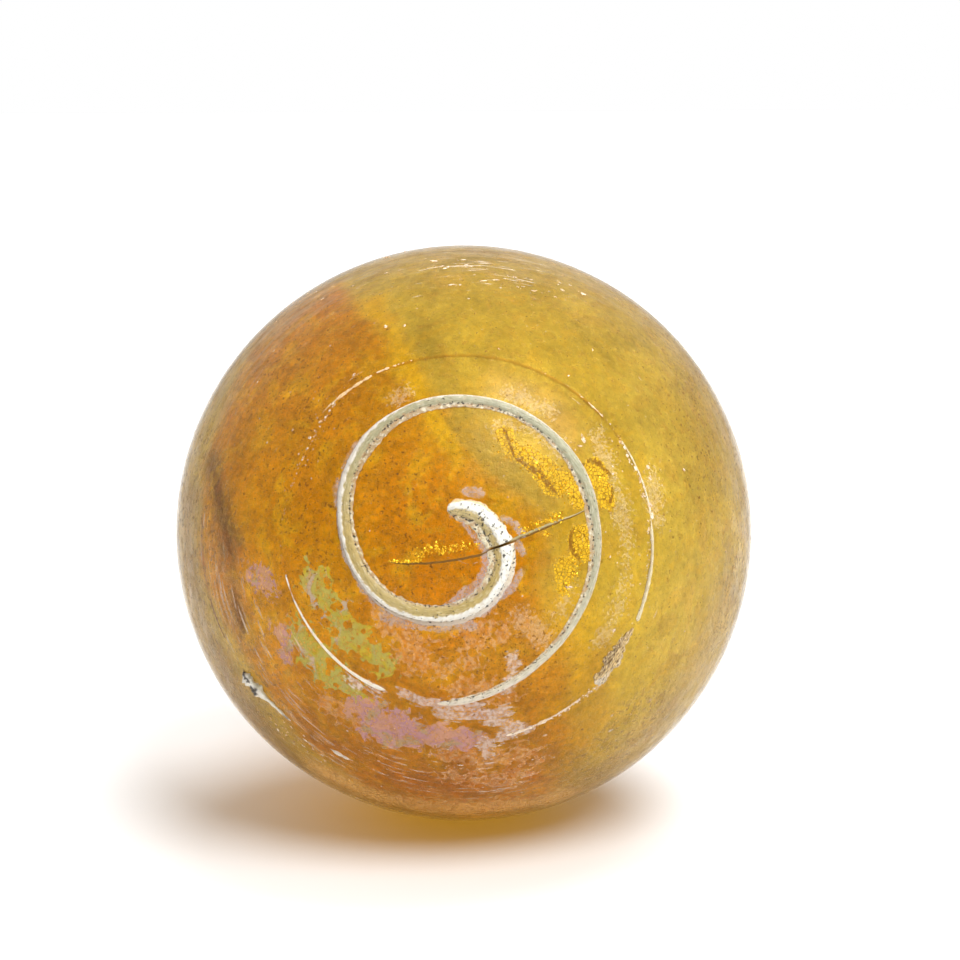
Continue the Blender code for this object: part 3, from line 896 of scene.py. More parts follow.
# Trail: the opaque thread, wound from a thick end, in the stretches that are left of it
trail = {
    "tipAngle": 122.5,
    "height": 0.35,  # share of the thread's width
    "crust": 0.14,  # millimetres, as the sizes below: thickness of the flaky crust
    "sunk": 0.15,  # how deep it is fused into the glass
    "along": 0.22,  # spacing of its rings
    "across": 32,  # points over its top
    "under": 5,
    "samples": 3000,  # points that measure a stretch
    "leastEnd": 0.004,  # share of its length that an end keeps, so that it doesn't close to a point
    "edge": 0.12,  # softness of the edges between its bands
    "hollow": (0.15, 0.22),  # softness of the core's hollow, and the share of the height that it takes
    "fibre": (1.6, 0.14),  # length and width of the torn fibres
    "rimDashes": (145, 20, 330, 30),  # turns where the rim's eaten dashes start, rise, end and fall
    "freckles": (210, 60),  # the turn where its freckles end, and their fall
    # degrees turned from the thick end, and degrees over the globe from the base's middle
    "route": [
        (0, 8.3), (40, 6.9), (80, 5.7), (120, 6.2), (170, 8.8), (205, 12.0), (240, 15.6), (275, 20.5),
        (305, 24.1), (335, 27.8), (365, 29.6), (400, 28.5), (450, 26.5), (500, 24.9), (525, 25.5),
        (550, 27.8), (583, 33.4), (606, 36.2), (650, 37.5), (700, 40.9), (725, 39.6), (780, 39.0),
        (840, 38.8), (870, 38.0), (892, 40.8), (922, 41.7), (1100, 48.3), (1320, 58.0), (1340, 59.4),
        (1352, 62.4), (1366, 64.2), (1390, 64.5)],
    # degrees turned, then from the middle line outwards: the outer edge, and the inner ends of the rim,
    # the white band, the core and the crust
    "bands": [
        (0, 0.75, 0.55, -0.30, -0.85, -1.20), (34, 1.07, 0.75, -0.30, -1.25, -1.95),
        (75, 1.22, 0.96, -0.45, -1.20, -2.15), (119, 1.32, 1.20, -0.55, -1.25, -2.15),
        (150, 1.25, 0.75, -0.50, -1.20, -2.00), (183, 1.16, 0.52, -0.36, -1.20, -1.90),
        (207, 1.08, 0.45, -0.42, -1.45, -1.80), (225, 1.10, 0.50, -0.28, -1.33, -1.60),
        (244, 1.15, 0.58, -0.03, -1.20, -1.40), (278, 0.98, 0.62, 0.05, -1.00, -1.38),
        (300, 1.05, 0.66, 0.22, -0.85, -1.38), (323, 1.00, 0.80, 0.04, -0.72, -1.18),
        (348, 1.00, 0.85, 0.25, -0.53, -1.35), (367, 0.60, 0.58, 0.30, -0.45, -1.25),
        (404, 0.68, 0.66, 0.47, -0.45, -0.90), (428, 0.54, 0.52, 0.30, -0.64, -0.95),
        (449, 0.58, 0.56, 0.36, -0.80, -1.25), (470, 0.42, 0.40, 0.19, -0.72, -1.35),
        (490, 0.70, 0.68, 0.47, -0.25, -0.88), (505, 0.90, 0.88, 0.69, 0.02, -0.45),
        (533, 0.88, 0.84, 0.72, 0.08, -0.25), (552, 0.80, 0.70, 0.45, -0.05, -0.35),
        (584, 0.30, 0.25, 0.10, -0.45, -0.70)],
    # degrees turned, and the tone of each band there
    "cores": [
        (0, 0.56, 0.43, 0.18), (75, 0.56, 0.43, 0.18), (119, 0.50, 0.36, 0.13), (150, 0.50, 0.36, 0.12),
        (215, 0.45, 0.33, 0.11), (260, 0.48, 0.36, 0.13), (310, 0.46, 0.33, 0.11), (348, 0.37, 0.33, 0.18),
        (404, 0.38, 0.36, 0.24), (450, 0.37, 0.36, 0.23), (500, 0.43, 0.40, 0.27), (540, 0.58, 0.52, 0.38),
        (584, 0.70, 0.62, 0.50)],
    "whites": [
        (0, 0.82, 0.79, 0.70), (250, 0.82, 0.79, 0.70), (300, 0.80, 0.75, 0.66), (340, 0.70, 0.64, 0.55),
        (470, 0.56, 0.50, 0.40), (510, 0.58, 0.51, 0.40), (584, 0.72, 0.62, 0.52)],
    "rims": [
        (0, 0.70, 0.46, 0.20), (60, 0.78, 0.62, 0.38), (119, 0.74, 0.66, 0.50), (150, 0.72, 0.63, 0.48),
        (190, 0.62, 0.52, 0.42), (244, 0.54, 0.43, 0.32), (300, 0.48, 0.37, 0.28), (330, 0.52, 0.44, 0.38),
        (360, 0.58, 0.50, 0.38), (584, 0.60, 0.50, 0.40)],
    "crusts": [
        (0, 0.52, 0.36, 0.18), (75, 0.68, 0.60, 0.40), (150, 0.68, 0.58, 0.37), (215, 0.48, 0.36, 0.22),
        (300, 0.55, 0.40, 0.19), (348, 0.44, 0.31, 0.16), (420, 0.46, 0.38, 0.25), (500, 0.50, 0.40, 0.24),
        (584, 0.60, 0.50, 0.35)],
    "threadWhite": (0.84, 0.79, 0.69),
    # tone of the painted shade along a thin thread's inner edge
    "shadeTone": (0.15, 0.08, 0.02),
    "holeTone": (0.03, 0.022, 0.014),
}
# each stretch: its turns, how it thins at both ends, and for the thin ones by the turn: their width, how far
# they lie outwards of the middle line, how white and broken they are, and how dark the painted shade on their
# inner edge is
stretches = [
    {"name": "trail_start", "turns": (0, 119), "ends": (1.0, 0.0)},
    {"name": "trail_first_turn", "turns": (124, 584), "ends": (0.0, 3.0)},
    {"name": "trail_second_turn_left", "turns": (602, 668), "ends": (1.5, 2.0), "tone": (0.80, 0.68, 0.52),
     "width": [(602, 0.60), (616, 0.42), (645, 0.30), (668, 0.22)],
     "shift": [(602, -0.8), (616, -0.4), (630, 0.05), (645, 0.5), (668, 0.7)],
     "white": [(602, 0.9), (640, 0.9), (668, 0.5)],
     "broken": [(602, 0.35), (612, 0.1), (640, 0.1), (650, 0.7)]},
    {"name": "trail_second_turn_top", "turns": (704, 800.2), "ends": (2.0, 0.3), "flat": 0.4,
     "tone": (0.74, 0.49, 0.24),
     "shade": [(722, 0.0), (738, 0.55), (798, 0.55)],
     "width": [(704, 0.30), (713, 0.54), (720, 0.46), (730, 0.40), (798, 0.44)],
     "shift": [(704, 0.1), (713, 0.2), (724, 0.5), (735, 0.2), (752, -0.1), (785, -0.45), (798, -0.5)],
     "white": [(704, 0.05), (720, 0.1), (728, 0.3), (740, 0.4)],
     "broken": [(704, 0.8), (713, 0.5), (722, 0.8), (740, 0.2)]},
    {"name": "trail_second_turn_right", "turns": (800.8, 868), "ends": (0.3, 0.4), "flat": 0.6,
     "tone": (0.62, 0.52, 0.31),
     "width": [(803, 0.22), (828, 0.34), (833, 0.42), (836, 0.10), (840, 0.52), (868, 0.64)],
     "shift": [(803, -0.55), (832, -0.35), (840, -0.45), (850, -0.1), (868, 0.5)],
     "white": [(803, 0.25), (832, 0.55), (840, 0.3), (868, 0.25)], "broken": [(803, 0.4), (868, 0.2)],
     "shade": [(838, 0.0), (843, 0.45), (860, 0.45), (866, 0.0)]},
    {"name": "trail_torn_stretch", "turns": (870, 891), "ends": (0.5, 1.0), "fibrous": 1.0,
     "tone": (0.62, 0.42, 0.16),
     "width": [(870, 0.8), (874, 1.6), (882, 2.6), (891, 2.2)],
     "shift": [(870, 0.4), (876, -0.2), (891, -0.6)],
     "white": [(870, 0.15), (884, 0.25), (891, 0.9)], "broken": [(870, 0.4), (891, 0.5)],
     "shade": [(870, 0.0), (874, 0.7), (884, 0.7), (888, 0.0)]},
    {"name": "trail_second_turn_lower", "turns": (896, 922), "ends": (1.5, 3.0), "flat": 0.5,
     "tone": (0.72, 0.52, 0.32),
     "width": [(896, 0.36), (906, 0.42), (915, 0.55), (922, 0.8)],
     "shift": [(896, -0.5), (906, -0.4), (922, 0.0)],
     "white": [(896, 0.4), (912, 0.5), (922, 0.7)], "broken": [(896, 0.5), (922, 0.6)]},
    {"name": "trail_outer_fragment", "turns": (1320, 1326), "ends": (1.0, 1.0), "tone": (0.80, 0.68, 0.56),
     "width": [(1320, 0.40), (1326, 0.65)], "shift": [(1320, 0.1)], "white": [(1320, 0.9)],
     "broken": [(1320, 0.9)]},
    {"name": "trail_outer_stub", "turns": (1337, 1352), "ends": (3.0, 0.8), "tone": (0.62, 0.56, 0.40),
     "width": [(1337, 0.45), (1343, 0.8), (1346, 2.2), (1350, 2.7), (1352, 2.3)],
     "shift": [(1337, 0.4), (1344, 0.2), (1348, 0.1)], "white": [(1337, 0.9), (1352, 1.0)],
     "broken": [(1337, 0.8), (1344, 0.4), (1352, 0.5)], "holes": 1.0},
    {"name": "trail_outer_end", "turns": (1360, 1388), "ends": (2.0, 3.0), "flat": 0.4,
     "tone": (0.24, 0.10, 0.04),
     "width": [(1360, 0.40), (1388, 0.30)], "shift": [(1360, -0.4), (1388, 0.1)], "white": [(1360, 0.0)],
     "broken": [(1360, 0.3)]},
]


def routePolar(turn):
    # smooth curve through the route's points: cubic between two points, slopes from their neighbours
    x, y = np.array(trail["route"], float).T
    i = np.clip(np.searchsorted(x, turn, side="right") - 1, 0, len(x) - 2)
    before, after = np.maximum(i - 1, 0), np.minimum(i + 2, len(x) - 1)
    gap = x[i + 1] - x[i]
    slopeIn = (y[i + 1] - y[before]) / (x[i + 1] - x[before])
    slopeOut = (y[after] - y[i]) / (x[after] - x[i])
    u = (turn - x[i]) / gap
    level = y[i] * (2 * u**3 - 3 * u**2 + 1) + y[i + 1] * (3 * u**2 - 2 * u**3)
    return np.radians(level + gap * (slopeIn * (u**3 - 2 * u**2 + u) + slopeOut * (u**3 - u**2)))


def onGlass(turn):
    # unit vector from the middle of the globe to the trail's middle line
    polar = routePolar(turn)
    clock = np.radians(trail["tipAngle"] - turn)
    return np.stack([np.sin(polar) * np.cos(clock), -np.sin(polar) * np.sin(clock), -np.cos(polar)], axis=-1)


def runAlong(points):
    # the distance run at each point of a line
    return np.concatenate([[0], np.cumsum(np.linalg.norm(np.diff(points, axis=0), axis=1))])


def evenTurns(first, last):
    # turns at even steps along the glass, with the distance run at each
    fine = np.linspace(first, last, trail["samples"])
    run = runAlong(onGlass(fine) * globeReach)
    distance = np.linspace(0, run[-1], max(8, round(run[-1] / trail["along"])))
    return np.interp(distance, run, fine), distance


def besideLine(out, outward, offset):
    # unit vectors to places that lie this far outwards of a line on the glass, in millimetres
    return unit(out[:, None, :] + outward[:, None, :] * (offset / globeReach)[..., None])


def layBand(name, out, outward, across, height, sunk):
    # a band over the glass: its top stands above each place across it, its underside is fused into the wall
    share = np.linspace(1, 0, trail["under"])
    low = across[:, -1:] * share + across[:, :1] * (1 - share)

    def raised(offset, lift):
        return besideLine(out, outward, offset) * (globeReach + lift)[..., None]

    ring = np.concatenate([raised(across, height), raised(low, np.full(low.shape, -sunk))], axis=1)
    rows, columns = ring.shape[:2]
    caps = np.stack([ring[0].mean(0), ring[-1].mean(0)])
    points = toWorld(np.concatenate([ring.reshape(-1, 3), caps]) / 1000)
    j = np.arange(columns)
    k = (j + 1) % columns
    last = (rows - 1) * columns
    head = np.stack([np.full(columns, rows * columns), k, j], axis=1)
    tail = np.stack([np.full(columns, rows * columns + 1), last + j, last + k], axis=1)
    triangles = np.concatenate([head, tail])
    item = meshPiece(name, points, gridFaces(rows, columns)[:, ::-1], triangles)
    return item, np.concatenate([across, low], axis=1)


def alongTable(turn, table):
    columns = np.array(table, float).T
    return [np.interp(turn, columns[0], values) for values in columns[1:]]


def makeThread(stretch):
    # a profile over the glass from its outer to its inner edge, carried along the spiral: the larger of half
    # an ellipse over the band and a thin crust, with edges that noise breaks
    turn, distance = evenTurns(*stretch["turns"])
    out = onGlass(turn)
    outward = unit(np.cross(out, onGlass(turn + 0.5) - onGlass(turn - 0.5)))
    local = out * flask["globeRadius"]
    isWide = "width" not in stretch
    ragged = cloud(local, 0.0011, 33) * 0.5 + cloud(local, 0.00045, 34) * 0.5 + cloud(local, 0.0002, 37) * 0.3
    if isWide:
        outer, rimIn, whiteIn, coreIn, inner = alongTable(turn, trail["bands"])
        half, middle = (rimIn - coreIn) / 2, (rimIn + coreIn) / 2
        whiteness = np.ones(len(turn))
        kinds = [
            np.stack(alongTable(turn, trail[key]), axis=1) for key in ("cores", "whites", "rims", "crusts")]
    else:
        width, middle, whiteness, broken = (
            alongTable(turn, stretch[key])[0] for key in ("width", "shift", "white", "broken"))
        half = width / 2 * (1 - broken * smooth(0.5 + 1.2 * ragged))
        outer, inner = middle + half, middle - half
        rimIn = outer + 1
        whiteIn, coreIn = middle + half * (1 - 1.9 * whiteness), middle - half * 0.8
        own, white = (np.tile(tone, (len(turn), 1)) for tone in (stretch["tone"], trail["threadWhite"]))
        kinds = [own, white, white, own]
    coreTone, whiteTone, rimTone, crustTone = (tone[:, None] for tone in kinds)
    outer = outer + half * 0.12 * (cloud(local, 0.0008, 31) + cloud(local, 0.0003, 32))
    inner = inner + half * 0.3 * ragged
    fade = np.ones(len(turn))
    for reach, end in zip((distance, distance[-1] - distance), stretch["ends"]):
        if end:
            fade = np.minimum(fade, np.sqrt(np.clip(reach / end, trail["leastEnd"], 1)))
    u = np.linspace(0, 1, trail["across"])
    v = (outer + (inner - outer) * u[:, None]).T * fade[:, None]
    v = v + ((outer + inner) / 2 * (1 - fade))[:, None]
    wide = half[:, None]
    lean = (v - middle[:, None]) / wide
    ridge = trail["height"] * 2 * wide * np.sqrt(np.clip(1 - lean**2, 0, 1)) * stretch.get("flat", 1.0)
    crust = trail["crust"] * np.minimum(1, wide) * smooth(np.minimum(u, 1 - u) * 8)
    spot = besideLine(out, outward, v) * flask["globeRadius"]
    rough = cloud(spot, 0.0004, 35) * 0.6 + cloud(spot, 0.00016, 36) * 0.4
    if "fibrous" in stretch:
        long, wideness = trail["fibre"]
        strand = np.stack(np.broadcast_arrays(distance[:, None] / long, v / wideness, 0.0), axis=-1)
        ridge = ridge * np.clip(0.30 + 0.45 * cloud(strand, 1.0, 38), 0, 1)
    soft, depth = trail["hollow"]
    inCore = smooth((whiteIn[:, None] - v) / soft + 0.5) * smooth((v - coreIn[:, None]) / soft + 0.5)
    height = (np.maximum(ridge, crust) * fade[:, None] + crust * rough * 0.8) * (1 - depth * inCore)
    item, spread = layBand(stretch["name"] + "_glass", out, outward, v, height, trail["sunk"])
    shift = 0.25 * np.pad(rough, ((0, 0), (0, trail["under"])))
    isRim, isWhite, isCore = (
        smooth((spread - limit[:, None] + shift) / trail["edge"] + 0.5)
        for limit in (rimIn, whiteIn, coreIn))
    isWhite = isWhite * (1 - isRim)
    isCore = isCore * (1 - isWhite) * (1 - isRim)
    dashes = np.exp(-((spread - coreIn[:, None] + 0.08) / 0.16) ** 2)
    first, rise, last, fall = trail["rimDashes"]
    rimDash = smooth((turn - first) / rise) * smooth((last - turn) / fall)
    dashes = dashes + rimDash[:, None] * np.exp(-((spread - rimIn[:, None]) / 0.10) ** 2)
    last, fall = trail["freckles"]
    freckles = np.broadcast_to(0.5 * smooth((last - turn) / fall)[:, None], spread.shape)

    def blend(under, over, share):
        return under + (over - under) * share[..., None]

    def spreadOut(values):
        # one value for each point, and one for each end cap
        values = np.broadcast_to(values, spread.shape + np.shape(values)[2:])
        flat = values.reshape((-1,) + values.shape[2:])
        return np.concatenate([flat, flat[:1], flat[-1:]])

    tone = blend(crustTone, coreTone, isCore)
    tone = blend(tone, whiteTone, isWhite * np.maximum(whiteness, 0.35 * (whiteness > 0))[:, None])
    tone = blend(tone, rimTone, isRim)
    # painted shade: a dark line along the thread's inner edge, where the raised thread shades the glass
    if "shade" in stretch:
        shade, = alongTable(turn, stretch["shade"])
        inEdge = smooth(((middle - 0.3 * half)[:, None] - spread) / 0.10 + 0.5)
        tone = blend(tone, np.array(trail["shadeTone"]), inEdge * shade[:, None])
    if "holes" in stretch:
        inside = smooth((half[:, None] * 0.8 - np.abs(spread - middle[:, None])) / 0.2)
        pit = cloud(np.stack(np.broadcast_arrays(distance[:, None], spread, 0.5), axis=-1), 0.62, 46)
        tone = blend(tone, np.array(trail["holeTone"]), inside * smooth((pit - 0.22) / 0.1))
    setColours(item, "tone", spreadOut(tone))
    setValues(item, "core", spreadOut(isCore if isWide else isCore * 0.6))
    setValues(item, "flaky", spreadOut((1 - isCore) * (1 - isWhite) * (1 - isRim) * isWide))
    setValues(item, "pitted", spreadOut(np.clip(dashes + freckles, 0, 1) if isWide else freckles))
    setValues(item, "fibrous", np.full(len(item.data.vertices), stretch.get("fibrous", 0.0)))
    strand = np.stack(np.broadcast_arrays(distance[:, None], spread * 7, 0.0), axis=-1)
    setPlaces(item, "strandPlace", spreadOut(strand))
    return item


def trailGlass():
    material, tree, shader = newMaterial("opaque trailed glass")
    place = objectPlace(tree)
    strandPlace = attribute(tree, "strandPlace", "Vector")
    strands = noise(strandPlace, 0.9, 4.0, 0.65)
    fibres = noise(strandPlace, 1.7, 3.0, 0.6)
    flake = noise(place, 1700.0, 4.0, 0.65)
    tone = attribute(tree, "tone", "Color")
    # where each wear shows, how far its noise carries it, and its tone
    wears = [
        ("core", span(strands, 0.46, 0.30, 0.0, 0.6), (0.13, 0.08, 0.02, 1)),
        ("core", span(strands, 0.54, 0.66, 0.0, 0.4), (0.80, 0.74, 0.56, 1)),
        ("flaky", span(flake, 0.50, 0.38, 0.0, 0.7), (0.44, 0.22, 0.08, 1)),
        ("flaky", span(flake, 0.50, 0.62, 0.0, 0.7), (0.84, 0.76, 0.58, 1)),
        ("fibrous", span(fibres, 0.50, 0.44, 0.0, 0.95), (0.10, 0.045, 0.010, 1)),
        ("fibrous", span(fibres, 0.52, 0.58, 0.0, 0.85), (0.80, 0.60, 0.32, 1)),
    ]
    for name, share, wornTone in wears:
        tone = mix(times(attribute(tree, name), share), tone, wornTone)
    tone = mix(span(flake, 0.46, 0.34, 0.0, 0.4), tone, (0.50, 0.36, 0.20, 1))
    tone = grained(tone, place, 1500.0, 0.4)
    cover = plus(times(attribute(tree, "pitted"), 0.75), 0.28)
    dark = sums("MAXIMUM", pits(place, 2900.0, cover), pits(strandPlace, 2.0, less(cover, 0.25)))
    fill(shader, {
        "Base Color": mix(times(dark, 0.93), tone, (0.022, 0.016, 0.010, 1)),
        "Roughness": span(flake, 0.3, 0.7, 0.35, 0.65),
        "Normal": bumped(less(plus(flake, times(strands, 0.5)), dark), 0.5, 0.0002),
    })
    return material


trailFinish = trailGlass()
for stretch in stretches:
    piece = makeThread(stretch)
    piece.data.materials.append(trailFinish)
    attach(piece, "root")
    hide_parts(stretch["name"])
print("trail laid:", len(stretches), "stretches")

# Crack across the base, with its gilt edge
crack = {
    "route": [(388, 562), (408, 564), (432, 563), (457, 560), (480, 555), (497, 547), (513, 540), (530, 533),
              (550, 525), (570, 517), (584, 511)],
    # share of the way, and the width in millimetres
    "width": [(0.0, 0.12), (0.1, 0.26), (0.4, 0.28), (0.55, 0.36), (0.66, 0.54), (0.8, 0.48), (1.0, 0.16)],
    "height": 0.07,
    "across": 9,
    "step": 0.12,
    "stray": 0.05,  # how far it wanders off its route
    "groove": (0.7, 0.12, 0.5),  # where across it, how narrow and how deep, as shares
    "highlightFrom": (0.5, 0.12),  # share of the way where its upper side turns pale grey-olive with a painted highlight along the lip, and the fade
}


def alongLine(way, run, corners):
    # places on the map at these shares of a line whose corners are at these runs
    return np.stack([np.interp(way, run, corners[:, axis]) for axis in (0, 1)], axis=1)


def makeCrack():
    # a low ridge along the route: its height falls to both edges and is cut by a groove on the lower side
    corners = mapSpot(crack["route"])
    run = runAlong(corners)
    distance = np.linspace(0, run[-1], round(run[-1] / crack["step"]))
    place = alongLine(distance, run, corners)
    place[:, 1] += crack["stray"] * cloud(np.stack([distance, distance * 0, distance * 0], axis=1), 0.9, 41)
    out = fromMap(place)
    outward = unit(np.cross(out, np.gradient(out, axis=0)))
    width, = alongTable(distance / run[-1], crack["width"])
    u = np.linspace(0, 1, crack["across"])
    across = width[:, None] * (0.5 - u)
    spot, narrow, deep = crack["groove"]
    height = crack["height"] * (np.sin(math.pi * u) - deep * np.exp(-((u - spot) / narrow) ** 2))
    height = np.broadcast_to(height, across.shape) * np.minimum(1, width[:, None] / 0.3)
    item, spread = layBand("crack", out, outward, across, height, trail["sunk"])
    side = np.clip(0.5 - spread / width[:, None], 0, 1)
    start, fade = crack["highlightFrom"]
    # the upper side's grey-olive tone, partly a painted highlight along the crack's upper lip
    paleHighlight = smooth((distance / run[-1] - start) / fade)[:, None] * smooth((0.62 - side) / 0.2)
    setValues(item, "paleHighlight", np.concatenate([paleHighlight.ravel(), [0, 0]]))
    return item


def crackGlass():
    material, tree, shader = newMaterial("open crack")
    place = objectPlace(tree)
    # grey-olive on the upper side, partly a painted highlight
    tone = mix(attribute(tree, "paleHighlight"), (0.18, 0.085, 0.012, 1), (0.40, 0.33, 0.16, 1))
    fill(shader, {
        "Base Color": grained(tone, place, 1300.0, 0.6),
        "Roughness": uneven(place, 1500.0, 0.3, 0.55),
        "Specular IOR Level": 0.15,
    })
    return material


crackPiece = makeCrack()
crackPiece.data.materials.append(crackGlass())
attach(crackPiece, "root")
print("crack opened")

# Flakes: thin chips of weathered glass, white or gilt, each a ragged lens on the wall; sizes in millimetres
chips = {
    "rim": 9,  # points round each chip
    "rimLift": 0.03,
    "rootDepth": 0.12,
}


def makeFlakes(name, spots, longs, wides, turns, thick, seed):
    # per flake: a rim of points at uneven reach, a raised point off its middle, and one in the wall
    rng = np.random.default_rng(seed)
    rim = chips["rim"]
    count = len(spots)
    angle = np.arange(rim) * 2 * math.pi / rim
    reach = 0.5 * (0.55 + 0.7 * rng.random((count, rim)))
    along = np.stack([np.cos(turns), np.sin(turns)], axis=1)
    beside = np.stack([-along[:, 1], along[:, 0]], axis=1)
    wayOut = (reach * np.cos(angle) * longs[:, None])[..., None] * along[:, None, :]
    wayOut = wayOut + (reach * np.sin(angle) * wides[:, None])[..., None] * beside[:, None, :]
    rimPoints = fromMap(spots[:, None, :] + wayOut) * (globeReach + chips["rimLift"])
    lean = wayOut[np.arange(count), rng.integers(0, rim, count)] * 0.5
    topPoints = fromMap(spots + lean) * (globeReach + thick * (0.6 + 0.8 * rng.random((count, 1))))
    lowPoints = fromMap(spots) * (globeReach - chips["rootDepth"])
    points = np.concatenate([rimPoints, topPoints[:, None], lowPoints[:, None]], axis=1)
    k = np.arange(rim)
    fan = np.stack([k, (k + 1) % rim, np.full(rim, rim)], axis=1)
    under = np.stack([(k + 1) % rim, k, np.full(rim, rim + 1)], axis=1)
    faces = (np.arange(count) * (rim + 2))[:, None, None] + np.concatenate([fan, under])
    world = toWorld(points.reshape(-1, 3) / 1000)
    world[:, 2] = np.maximum(world[:, 2], 0)
    item = meshPiece(name, world, np.zeros((0, 4), int), faces.reshape(-1, 3), rounded=False)
    setValues(item, "chance", np.repeat(rng.random(count), rim + 2))
    return item


whiteFlakes = {
    "thick": 0.07,
    "seeds": (61, 62),
    "tones": ((0.90, 0.80, 0.66, 1), (0.80, 0.56, 0.36, 1)),
    "rough": (0.4, 0.7),
    "count": 240,  # strewn over the globe
    "reach": 62.0,
    "size": (0.08, 0.34),
    "drawnOut": (1.6, 20, 25),  # how much longer, from how far along the wall, and over how far
    # one by one: pixel, length, width, and slope on the picture in degrees
    "byHand": [
        (434, 261, 1.2, 0.5, -20), (446, 268, 1.6, 0.5, 35), (463, 260, 1.0, 0.3, 0),
        (453, 285, 1.3, 0.4, 0), (460, 285, 0.5, 0.3, 10), (468, 299, 0.9, 0.3, 0),
        (448, 307, 0.5, 0.3, 0), (484, 281, 1.5, 0.3, 5), (496, 280, 1.2, 0.25, 0),
        (508, 279, 1.5, 0.3, 0), (534, 291, 1.2, 0.45, 0), (562, 290, 0.8, 0.4, -30),
        (583, 294, 1.1, 0.6, -20), (512, 301, 0.9, 0.3, 0), (386, 327, 0.8, 0.6, -60),
        (404, 326, 1.0, 0.6, 40), (496, 342, 0.6, 0.5, -50), (499, 349, 0.9, 0.5, -40),
        (583, 438, 1.3, 0.6, -65), (580, 446, 0.6, 0.3, 0), (592, 350, 1.1, 0.4, -80),
        (568, 375, 1.2, 0.7, 10), (620, 442, 0.9, 0.4, -50), (648, 467, 0.8, 0.5, -70),
        (650, 478, 0.7, 0.4, -80), (684, 470, 0.6, 0.4, -40), (650, 505, 1.1, 0.6, -85),
        (652, 516, 0.9, 0.6, 80), (613, 474, 0.5, 0.3, 30), (569, 587, 1.0, 0.3, 0),
        (614, 630, 0.8, 0.5, 60), (310, 438, 0.5, 0.5, 30), (320, 422, 0.7, 0.3, 50),
        (354, 375, 0.7, 0.3, 35), (334, 403, 0.6, 0.3, 45), (299, 454, 0.5, 0.25, 60),
        (285, 490, 0.7, 0.25, 80), (278, 730, 0.8, 0.4, -60), (305, 740, 0.9, 0.35, -45),
        (322, 755, 0.8, 0.3, -35), (460, 765, 1.0, 0.3, -10), (545, 735, 0.8, 0.3, 15),
        (611, 730, 0.8, 0.4, 30), (650, 700, 1.0, 0.35, 55),
    ],
    # clusters of specks: lines of pixels, how far they stray, how many, and how much larger
    "clusters": [
        {"line": [(436, 264), (510, 276), (588, 298)], "stray": 1.6, "count": 60},
        {"line": [(600, 440), (640, 520), (628, 612)], "stray": 2.6, "count": 60},
        {"line": [(352, 372), (320, 420), (304, 468)], "stray": 1.6, "count": 40},
        {"line": [(272, 720), (300, 742), (328, 760)], "stray": 1.0, "count": 30},
        {"line": [(402, 748), (480, 772), (556, 756)], "stray": 2.0, "count": 60},
        {"line": [(336, 402), (318, 430), (301, 462), (290, 492), (283, 520), (281, 548), (287, 578)],
         "stray": 0.10, "count": 110, "grow": 1.35},
        {"line": [(597, 408), (610, 424), (622, 441)], "stray": 0.06, "count": 18},
        {"line": [(600, 684), (588, 694), (572, 706), (556, 716), (536, 726), (512, 735)],
         "stray": 0.14, "count": 90, "grow": 1.7},
        {"line": [(592, 689), (608, 676)], "stray": 0.32, "count": 40, "grow": 1.8},
        {"line": [(622, 444), (640, 480), (648, 515), (649, 545), (645, 580)], "stray": 0.16, "count": 60,
         "grow": 1.6},
    ],
}


def strewAlong(patches, rng):
    # spots at random shares of each line of pixels, strayed to all sides
    parts = []
    for patch in patches:
        corners = mapSpot(patch["line"])
        way = np.sort(rng.random(patch["count"])) * (len(corners) - 1)
        middle = alongLine(way, np.arange(len(corners)), corners)
        parts.append(middle + rng.normal(0, patch["stray"], middle.shape))
    return np.concatenate(parts)


def whiteFlakeSpots():
    # the listed ones, and small ones strewn over the globe, drawn out round its axis towards the belt
    byHand, clusters = np.array(whiteFlakes["byHand"], float), whiteFlakes["clusters"]
    rng = np.random.default_rng(whiteFlakes["seeds"][0])
    count = whiteFlakes["count"]
    arc = whiteFlakes["reach"] * np.sqrt(rng.random(count))
    clock = rng.random(count) * 2 * math.pi
    strewn = arc[:, None] * np.stack([np.cos(clock), np.sin(clock)], axis=1)
    strewn = np.concatenate([strewn, strewAlong(clusters, rng)])
    arc = np.linalg.norm(strewn, axis=1)
    clock = np.arctan2(strewn[:, 1], strewn[:, 0])
    small, large = whiteFlakes["size"]
    size = small + (large - small) * rng.random(len(strewn)) ** 3
    grown = [patch.get("grow", 1) for patch in clusters]
    size[count:] *= np.repeat(grown, [patch["count"] for patch in clusters])
    longer, start, fade = whiteFlakes["drawnOut"]
    drawn = 1 + longer * smooth((arc - start) / fade)
    spots = np.concatenate([mapSpot(byHand[:, :2]), strewn])
    longs = np.concatenate([byHand[:, 2], size * drawn])
    wides = np.concatenate([byHand[:, 3], size * 0.7])
    turns = np.concatenate([np.radians(byHand[:, 4]), clock + math.pi / 2])
    return spots, longs, wides, turns


giltFlakes = {
    "thick": 0.13,
    "seeds": (71, 72),
    "tones": ((0.95, 0.62, 0.03, 1), (0.70, 0.36, 0.01, 1)),
    "rough": (0.18, 0.4),
    "metal": 0.75,
    "size": (0.16, 0.42),
    # glitter beside the crack and over it, as the clusters above
    "clusters": [
        {"line": [(389, 561), (420, 561)], "stray": 0.10, "count": 60},
        {"line": [(418, 557), (428, 549), (440, 547)], "stray": 0.35, "count": 70},
        {"line": [(436, 551), (455, 548), (478, 545)], "stray": 0.30, "count": 80},
        {"line": [(522, 532), (534, 526), (550, 520), (562, 515)], "stray": 0.30, "count": 90},
        {"line": [(540, 537), (550, 532)], "stray": 0.15, "count": 16},
        {"line": [(508, 440), (530, 458), (556, 480), (574, 498)], "stray": 1.0, "count": 160},
        {"line": [(594, 468), (608, 492)], "stray": 0.8, "count": 30},
        {"line": [(580, 528), (582, 555), (570, 580), (564, 596)], "stray": 0.5, "count": 70},
    ],
}


